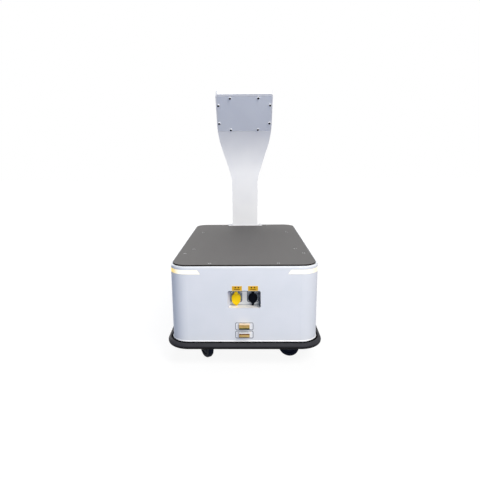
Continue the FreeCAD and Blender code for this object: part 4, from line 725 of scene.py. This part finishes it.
label_ink = moulded("printed_ink_brown", "#2a1a06", "#33210a", 0.6, grain=0.8, grain_height=0.005, shine=0.1)
vinyl_edge = moulded("vinyl_cut_edge", "#fff3cf", "#f6e9c4", 0.5, grain=0.8, grain_height=0.005, shine=0.3)
dot_rings, dot_across, dot_up = [(2.3, -0.02), (2.3, 0.05)], 4.7, 2.6
rule_size, rule_down = (17, 0.1, 1.7), 3.4
label_half, label_corner = (15.5 * MM, 8 * MM), 0.8 * MM
vinyl_profile = [(-0.7, -0.3), (0.15, -0.3), (0.15, 0.04), (-0.7, 0.04)]
labels = solids_in("socket_labels")
ink, edging = bmesh.new(), bmesh.new()
for group in labels:
    lowest, highest = extent(group)
    middle_x, middle_z = (lowest.x + highest.x) / 2, (lowest.z + highest.z) / 2
    for side in (-1, 1):
        at = Vector((middle_x + side * dot_across * MM, lowest.y, middle_z + dot_up * MM))
        add_mesh(ink, stack(dot_rings, steps=20), Matrix.Translation(at) @ upright)
    slab(ink, (middle_x, lowest.y, middle_z - rule_down * MM), rule_size)
    seat = Matrix.Translation((middle_x, lowest.y, middle_z)) @ upright
    add_mesh(edging, swept_ring(*label_half, label_corner, vinyl_profile, seat, steps=3))
settle("label_ink", ink, [label_ink], "chassis")
settle("label_edges", edging, [vinyl_edge], "chassis")
print("labels printed:", len(labels))

# %% [markdown]
# Each panel socket is a die-cast flange with a dark gasket behind it and a small screw in each corner.
# A round coupling ring with grip ribs stands in front. The lids hide most of it, but the corners show,
# and the parts come into view when a lid is opened.

# %% Socket flanges
gasket = moulded("nbr_gasket_black", "#14171c", "#1a1d23", 0.6, shine=0.2)
gasket_half, gasket_corner = 17.9 * MM, 4.6 * MM
gasket_profile = [(-1.2, 0.05), (0.2, 0.05), (0.2, 1.1), (-1.2, 1.1)]
small_rings = [(1.9, 0.0), (1.9, 0.6), (1.5, 1.2), (0.95, 1.3, 6, 1), (0.9, 0.4, 6, 1), (0.2, 0.3, 6, 1)]
axis_up, flange_thick, screw_out = 17 * MM, 3 * MM, 13.4
for side in ("left", "right"):
    low_corner, high_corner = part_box(f"socket_{side}")
    middle_x, middle_z = (low_corner.x + high_corner.x) / 2, low_corner.z + axis_up
    wall = high_corner.y
    seat = Matrix.Translation((middle_x, wall, middle_z)) @ upright
    gasket_ring = swept_ring(gasket_half, gasket_half, gasket_corner, gasket_profile, seat, steps=5)
    settle(f"socket_gasket_{side}", gasket_ring, [gasket], "chassis")
    face = wall - flange_thick
    screw_seats = [
        Matrix.Translation((middle_x + sx * screw_out * MM, face, middle_z + sz * screw_out * MM)) @ upright
        for sx in (-1, 1) for sz in (-1, 1)
    ]
    screws = stamp(stack(small_rings, steps=18), screw_seats)
    settle(f"socket_screws_{side}", screws, [stainless, socket_shade_paint], "chassis")
print("each socket's flange has", len(screw_seats), "screws,", 2 * screw_out, "mm apart")

# %% [markdown]
# The lids are moulded caps. Seen from outside they are not round: each is a shield with a rolled rim
# that hangs down into a ribbed pull tab, so that a gloved thumb finds it. The outline is drawn as a few
# corners and then cut smooth, each cut taking a quarter off both ends of every side. The shields lie on
# the CAD lids and ride on their bodies, so they swing open with them.

# %% Lid faces


def smooth_outline(points, cuts=2):
    """Rounds a closed outline by cutting its corners."""
    for _ in range(cuts):
        rounded = []
        for (ax, az), (bx, bz) in zip(points, points[1:] + points[:1]):
            for near, far in ((0.75, 0.25), (0.25, 0.75)):
                rounded.append((near * ax + far * bx, near * az + far * bz))
        points = rounded
    return points


def layered(points, levels, matrix):
    """A plate from an outline in millimetres and its levels: (step in from the outline, height)."""
    mesh = bmesh.new()
    loops = []
    for step, height in levels:
        loop = []
        for x, z in points:
            left_over = 1 - step / math.hypot(x, z)
            loop.append(mesh.verts.new(matrix @ Vector((x * left_over, z * left_over, height))))
        loops.append(loop)
    skin(mesh, loops)
    mesh.faces.new(loops[0][::-1])
    mesh.faces.new(loops[-1])
    return mesh


shield_left = [
    (-5, 12.5), (5, 12.5), (10.5, 9), (13.6, 2), (13.6, -9), (10, -16.5), (5, -20.5), (3, -24), (0, -24.3),
    (-5, -20.5), (-10, -16.5), (-13.6, -10), (-13.6, 2), (-10.5, 9),
]
shield_right = [
    (-4, 13.5), (4, 13.5), (11, 8), (13.2, 2), (13, -7), (8.5, -13.5), (4.2, -16), (3.7, -18), (3.9, -24.3),
    (-3.9, -24.3), (-3.7, -18), (-4.2, -16), (-8.5, -13.5), (-13, -7), (-13.2, 2), (-11, 8),
]
rim_levels = [(0, -2.2), (0, 0.3), (0.5, 1.1), (1.4, 1.4), (2.2, 1.1), (2.8, 0.1), (4.5, 0.05)]
shield_up = 21.5 * MM
rib_size, rib_down, rib_step, rib_out = (4.4, 0.9, 0.7), 17.4, 1.9, 0.9
for side, outline, finish in (("left", shield_left, cap_yellow), ("right", shield_right, cap_black)):
    low_corner, high_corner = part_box(f"socket_lid_{side}")
    at = Vector(((low_corner.x + high_corner.x) / 2, low_corner.y, low_corner.z + shield_up))
    flat = Matrix.Translation(at) @ upright @ Matrix.Scale(MM, 4)
    shield = layered(smooth_outline(outline), rim_levels, flat)
    for rib in range(3):
        slab(shield, (at.x, at.y - rib_out * MM, at.z - (rib_down + rib_step * rib) * MM), rib_size)
    settle(f"lid_shield_{side}", shield, [finish], f"lid_{side}")
print("lid shields:", len(smooth_outline(shield_left)), "points round the left one")

# %% [markdown]
# The charging contacts are brass blocks, one in each slot. Films laid over the blocks paint their light and
# shade. A pale film on the upper block's top is a painted highlight, and dark films on its slanted lower edge
# and low across its face are painted shade. The lower block's top and upper front edge are covered in the
# holder's white as a painted highlight, and a brown band low on its face is painted shade. Most of the films
# are a third of a millimetre thick.

# %% Contact faces with painted highlights and shade
# Pale and white films are painted highlights, the dark and brown films painted shade.
brass_highlight_paint = moulded("brass_painted_highlight_film", "#f6dfbf", "#f0d4ac", 0.35, grain=0.8, grain_height=0.01)
brass_shade_paint = worked_metal("brass_painted_shade_film", "#45502f", "#343e24", 0.5, line=0.5, stretch=(14, 1, 1))
brass_band_shade_paint = worked_metal("brass_painted_shade_band", "#6d4519", "#563411", 0.4, line=0.5, stretch=(14, 1, 1))


def wedge(mesh, corners):
    """Adds the solid round a handful of corners."""
    bmesh.ops.convex_hull(mesh, input=[mesh.verts.new(corner) for corner in corners])


tops, edges, shade_band_films, white_highlight_films = (bmesh.new() for _ in range(4))
# Each film: its mesh, how far inward and up from the block's upper front edge its middle lies, and its
# size across, inward and up, all in millimetres.
upper_films = [(tops, 6.9, 0.05, (31.6, 11.2, 0.25)), (tops, 0.0, -0.3, (31.6, 0.3, 0.9))]
lower_films = [
    (white_highlight_films, 6.9, 0.05, (31.6, 11.2, 0.25)), (white_highlight_films, -0.3, -0.9, (32.4, 0.8, 2.0)),
    (shade_band_films, 0.0, -3.9, (31.6, 0.3, 4.2)),
]
half_width, proud, chamfer = 15.8, 0.25, ((0.05, 3.45), (3.45, 0.05))
shade_band_up, shade_band_size = 4.4, (31.6, 0.3, 2.2)
between_slots = 100 * MM
contact_groups = solids_in("charge_contacts")
for group in contact_groups:
    lowest, highest = extent(group)
    middle_x, front_y = (lowest.x + highest.x) / 2, lowest.y
    is_upper = lowest.z > between_slots
    for mesh, inward, up, size in upper_films if is_upper else lower_films:
        slab(mesh, (middle_x, front_y + inward * MM, highest.z + up * MM), size)
    if is_upper:
        wedge(edges, [
            (middle_x + side * half_width * MM, front_y + (a - out) * MM, lowest.z + (b - out) * MM)
            for side in (-1, 1) for a, b in chamfer for out in (0.0, proud)
        ])
        slab(edges, (middle_x, front_y, lowest.z + shade_band_up * MM), shade_band_size)
settle("contact_tops_painted_highlight", tops, [brass_highlight_paint], "chassis")
settle("contact_lip_painted_highlight", white_highlight_films, [holder_white], "chassis")
settle("contact_edges_painted_shade", edges, [brass_shade_paint], "chassis")
settle("contact_band_painted_shade", shade_band_films, [brass_band_shade_paint], "chassis")
print("contacts:", len(contact_groups))

# %% [markdown]
# The socket tray is pressed from sheet, so its side walls lean. Dark strips along its right wall and its
# upper edge are painted shade, where the walls shadow the tray. The left wall leans the same way, and its
# pale lilac coat is painted shade: a bluish cast for the blue side of the room it faces. A thin sheet of
# cream paint on the tray's floor is a painted highlight, paler than the white beneath it.

# %% Trims of the socket tray
# The lilac coat and the dark strips are painted shade, and the cream sheet is a painted highlight.
lilac_shade_coat = powder_coat("powder_coat_in_shade", "#e4e8f6", "#dde2f3")
strip_shade_paint = moulded("epdm_rubber_strip", "#1c222e", "#232a38", 0.6, grain=0.9, shine=0.15)
cream_light_coat = powder_coat("powder_coat_cream_painted_light", "#fbf9f6", "#f7f4ef", gloss=0.3)
tray_low, tray_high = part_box("socket_recess")
sheet_margin, wall_lean = 8 * MM, 6.2 * MM
left_x, right_x = -49.5 * MM, 49.5 * MM
top_z, floor_z = tray_high.z - sheet_margin, tray_low.z + sheet_margin
mouth_y, inner_y = shell_low.y + 1.5 * MM, shell_low.y + 24 * MM
side_strip, top_strip, strip_depth, strip_clear = 3.8 * MM, 1.9 * MM, 3 * MM, 4 * MM
sheet_size = (98.6, 21.5, 0.24)

left_wall = bmesh.new()
wall_corners = [(left_x, y, z) for y in (mouth_y, inner_y) for z in (floor_z, top_z)]
wedge(left_wall, wall_corners + [(left_x + wall_lean, inner_y, z) for z in (floor_z, top_z)])
settle("tray_left_wall", left_wall, [lilac_shade_coat], "chassis")
strips = bmesh.new()
for strip_x, strip_z in (
    ((right_x - side_strip, right_x), (floor_z + strip_clear, top_z)),
    ((left_x, right_x), (top_z - top_strip, top_z)),
):
    wedge(strips, [(x, y, z) for x in strip_x for y in (mouth_y, mouth_y + strip_depth) for z in strip_z])
settle("tray_shade_strip", strips, [strip_shade_paint], "chassis")
light_sheet = bmesh.new()
slab(light_sheet, (0, (mouth_y + inner_y) / 2, floor_z + sheet_size[2] / 2 * MM), sheet_size)
settle("tray_sheet_painted_light", light_sheet, [cream_light_coat], "chassis")
print("tray mouth:", round((right_x - left_x) / MM, 1), "x", round((top_z - floor_z) / MM, 1), "mm")

# %% [markdown]
# Each drive arm is pressed down by a coil spring, which gets shorter as the arm swings up and longer as it
# drops. The wire is a circle swept along a helix, finer than the straight lengths of the CAD spring that it
# stands for.

# %% Suspension springs


def coil_spring(foot, rise, radius, wire, turns, steps=22, sides=8):
    """Round wire wound up round an axis from its foot: all sizes in metres."""
    mesh = bmesh.new()
    loops = []
    count = turns * steps
    for k in range(count + 1):
        turn = 2 * math.pi * k / steps
        radial = Vector((math.cos(turn), math.sin(turn), 0))
        along = Vector((-math.sin(turn), math.cos(turn), rise / (2 * math.pi * radius * turns))).normalized()
        centre = foot + radial * radius + Vector((0, 0, rise * k / count))
        across = along.cross(radial)
        loops.append([
            mesh.verts.new(centre + (radial * math.cos(a) + across * math.sin(a)) * wire)
            for a in (2 * math.pi * side / sides for side in range(sides))
        ])
    skin(mesh, loops)
    mesh.faces.new(loops[0])
    mesh.faces.new(loops[-1][::-1])
    return mesh


wire_radius, turns = 1.5 * MM, 5
for side in ("left", "right"):
    low_end, high_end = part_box(f"suspension_spring_{side}")
    middle = (low_end + high_end) / 2
    foot = Vector((middle.x, middle.y, low_end.z + wire_radius))
    rise = high_end.z - low_end.z - 2 * wire_radius
    spring_radius = (high_end.y - low_end.y) / 2 - wire_radius
    spring = settle(
        f"coil_spring_{side}", coil_spring(foot, rise, spring_radius, wire_radius, turns), [spring_steel],
        None, [f"suspension_spring_{side}"],
    )
    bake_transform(spring)
print("springs:", turns, "turns,", round(rise / MM, 1), "mm long, radius", round(spring_radius / MM, 2), "mm")

# %% [markdown]
# Four threaded inserts in the deck take accessories. Each shows as a bright turned rim round a dark
# hole, so a thin ring lies in the mouth of every hole, its top a hair above the coat.

# %% Rims of the accessory holes
rim_profile = [(3.35, -0.5), (4.9, 0.02), (4.9, 0.22), (4.2, 0.3), (3.35, 0.1)]
rim_steps = 24
rim = bmesh.new()
loops = []
for step in range(rim_steps):
    angle = 2 * math.pi * step / rim_steps
    loops.append([
        rim.verts.new((r * MM * math.cos(angle), r * MM * math.sin(angle), z * MM)) for r, z in rim_profile
    ])
skin(rim, loops, closed=True)
hole_places = [Matrix.Translation((x * MM, y * MM, deck_high.z)) for x in (-175, 175) for y in (-148, 164)]
settle("accessory_hole_rims", stamp(rim, hole_places), [stainless], "chassis")
print("accessory holes:", len(hole_places), "in two rows, 350 mm apart")

# %% [markdown]
# The camera stands behind the robot, a metre and a half from its middle and 64 cm above the floor, and
# looks down by about twelve degrees. Its three angles make one matrix: the view direction first,
# then the level right-hand direction, and a small roll about the view.

# %% Camera
YAW, PITCH, ROLL = (math.radians(angle) for angle in (-1.062, 11.69, -0.489))
forward = Vector((math.sin(YAW) * math.cos(PITCH), math.cos(YAW) * math.cos(PITCH), -math.sin(PITCH)))
level = Vector((math.cos(YAW), -math.sin(YAW), 0))
upward = level.cross(forward)
right = math.cos(ROLL) * level + math.sin(ROLL) * upward
up = math.cos(ROLL) * upward - math.sin(ROLL) * level
camera = bpy.data.objects.new("camera", bpy.data.cameras.new("camera"))
bpy.context.scene.collection.objects.link(camera)
turned = Matrix((right, up, -forward)).transposed().to_4x4()
stand = Vector((10.86, -1542.28, 642.04)) * MM
camera.matrix_world = Matrix.Translation(stand) @ turned
camera.data.sensor_width = 36
camera.data.lens = 31.0
camera.data.clip_start = 0.05
bpy.context.scene.camera = camera
print("camera at", [round(v, 3) for v in camera.location])

# %% [markdown]
# A studio sweep is white because it is lit well and painted white. Here the world is plain white only
# for the rays that see it: the camera's, and those that metal and glass send on. To all others it is a
# dim blue, so it fills the shadows a little without flooding the robot with light.

# %% The world


def in_sight(tree):
    """1 for a ray from the camera, a reflection or a pane of glass, and 0 for light on a surface."""
    rays = add_node(tree, "LightPath")
    seen = add_node(
        tree, "Math", {"operation": "MAXIMUM"}, i0=rays.outputs["Is Camera Ray"],
        i1=rays.outputs["Is Glossy Ray"],
    )
    seen = add_node(
        tree, "Math", {"operation": "MAXIMUM"}, i0=seen.outputs["Value"],
        i1=rays.outputs["Is Transmission Ray"],
    )
    return seen.outputs["Value"]


room_light = 0.16
world = bpy.data.worlds.new("studio")
world.use_nodes = True
bpy.context.scene.world = world
air = world.node_tree
air.nodes.clear()
seen = in_sight(air)
strength = add_node(air, "MapRange", Value=seen, To_Min=room_light, To_Max=1.0)
hue = add_node(air, "MixRGB", Fac=seen, Color1=colour("#bcd2ff"), Color2=colour("#ffffff"))
sky = add_node(air, "Background", Color=hue.outputs["Color"], Strength=strength.outputs["Result"])
air.links.new(sky.outputs["Background"], add_node(air, "OutputWorld").inputs["Surface"])
print("the room lights the robot at a strength of", room_light)

# %% [markdown]
# The floor works the same way. The rays that see it get a pale painted floor near the robot, with its
# soft contact shadow, which fades to plain white a couple of metres out. Light that it throws up on the
# robot comes from a much darker blue, or the underside would look lit from below.

# %% Floor
half_floor = 9
fade_from, fade_to = 0.6, 2.2
full_white = 1.12
mottle_width = 300
floor_mesh = bpy.data.meshes.new("floor")
floor_corners = [(half_floor * x, half_floor * y, 0) for x, y in ((-1, -1), (1, -1), (1, 1), (-1, 1))]
floor_mesh.from_pydata(floor_corners, [], [(0, 1, 2, 3)])
floor = bpy.data.objects.new("floor", floor_mesh)
bpy.context.scene.collection.objects.link(floor)
floor_paint, tree, output, place = start_material("studio_floor_paint")
seen = in_sight(tree)
away = add_node(tree, "VectorMath", {"operation": "LENGTH"}, i0=place)
spread = add_node(
    tree, "MapRange", Value=away.outputs["Value"], From_Min=fade_from, From_Max=fade_to, To_Min=0.8,
    To_Max=1.0,
)
share = add_node(tree, "Math", {"operation": "MULTIPLY"}, i0=seen, i1=spread.outputs["Result"])
mottle = add_node(tree, "TexNoise", Vector=place, Scale=per_mm(mottle_width), Detail=2.0)
lit = add_node(tree, "MixRGB", Fac=mottle.outputs["Fac"], Color1=colour("#d2d2d4"), Color2=colour("#d8d8da"))
tone = add_node(tree, "MixRGB", Fac=seen, Color1=colour("#4e608c"), Color2=lit.outputs["Color"])
paint = add_node(tree, "BsdfDiffuse", Color=tone.outputs["Color"])
glow = add_node(tree, "Emission", Color=colour("#ffffff"), Strength=full_white)
mixed = add_node(
    tree, "MixShader", Fac=share.outputs["Value"], i1=paint.outputs["BSDF"], i2=glow.outputs["Emission"],
)
tree.links.new(mixed.outputs["Shader"], output.inputs["Surface"])
floor_mesh.materials.append(floor_paint)
print("floor:", 2 * half_floor, "m square")

# %% [markdown]
# Five soft boxes light the robot. The key hangs high on the right, and a low front box fills the rear
# wall that faces the camera. A weak blue one cools the shadows on the left, one lies over the deck, and
# one stands low on the far side, where it lights what the camera doesn't see.

# %% Lamps


def softbox(name, size, power, at, look_at, tint="#ffffff"):
    """A square area lamp, its side in metres and its power in watts, that faces a point."""
    lamp = bpy.data.lights.new(name, "AREA")
    lamp.size = size
    lamp.energy = power
    lamp.color = colour(tint)[:3]
    box = bpy.data.objects.new(name, lamp)
    box.location = at
    box.rotation_euler = (Vector(look_at) - Vector(at)).to_track_quat("-Z", "Y").to_euler()
    bpy.context.scene.collection.objects.link(box)


softbox("key_box", 1.6, 98, (1.6, -2.2, 3.2), (0, 0, 0.4), "#fffbf4")
softbox("front_box", 1.2, 47, (0.6, -3.0, 0.9), (0, 0, 0.4), "#fffbf4")
softbox("fill_box", 1.6, 10, (-2.3, -1.8, 1.0), (0, 0, 0.3), "#d4e8ff")
softbox("top_box", 1.6, 34, (0.0, 0.9, 2.6), (0, 0, 0.4))
softbox("back_box", 1.2, 34, (-2.0, 2.4, 0.6), (0, 0, 0.4), "#fffbf4")
bpy.context.scene.view_settings.view_transform = "Standard"
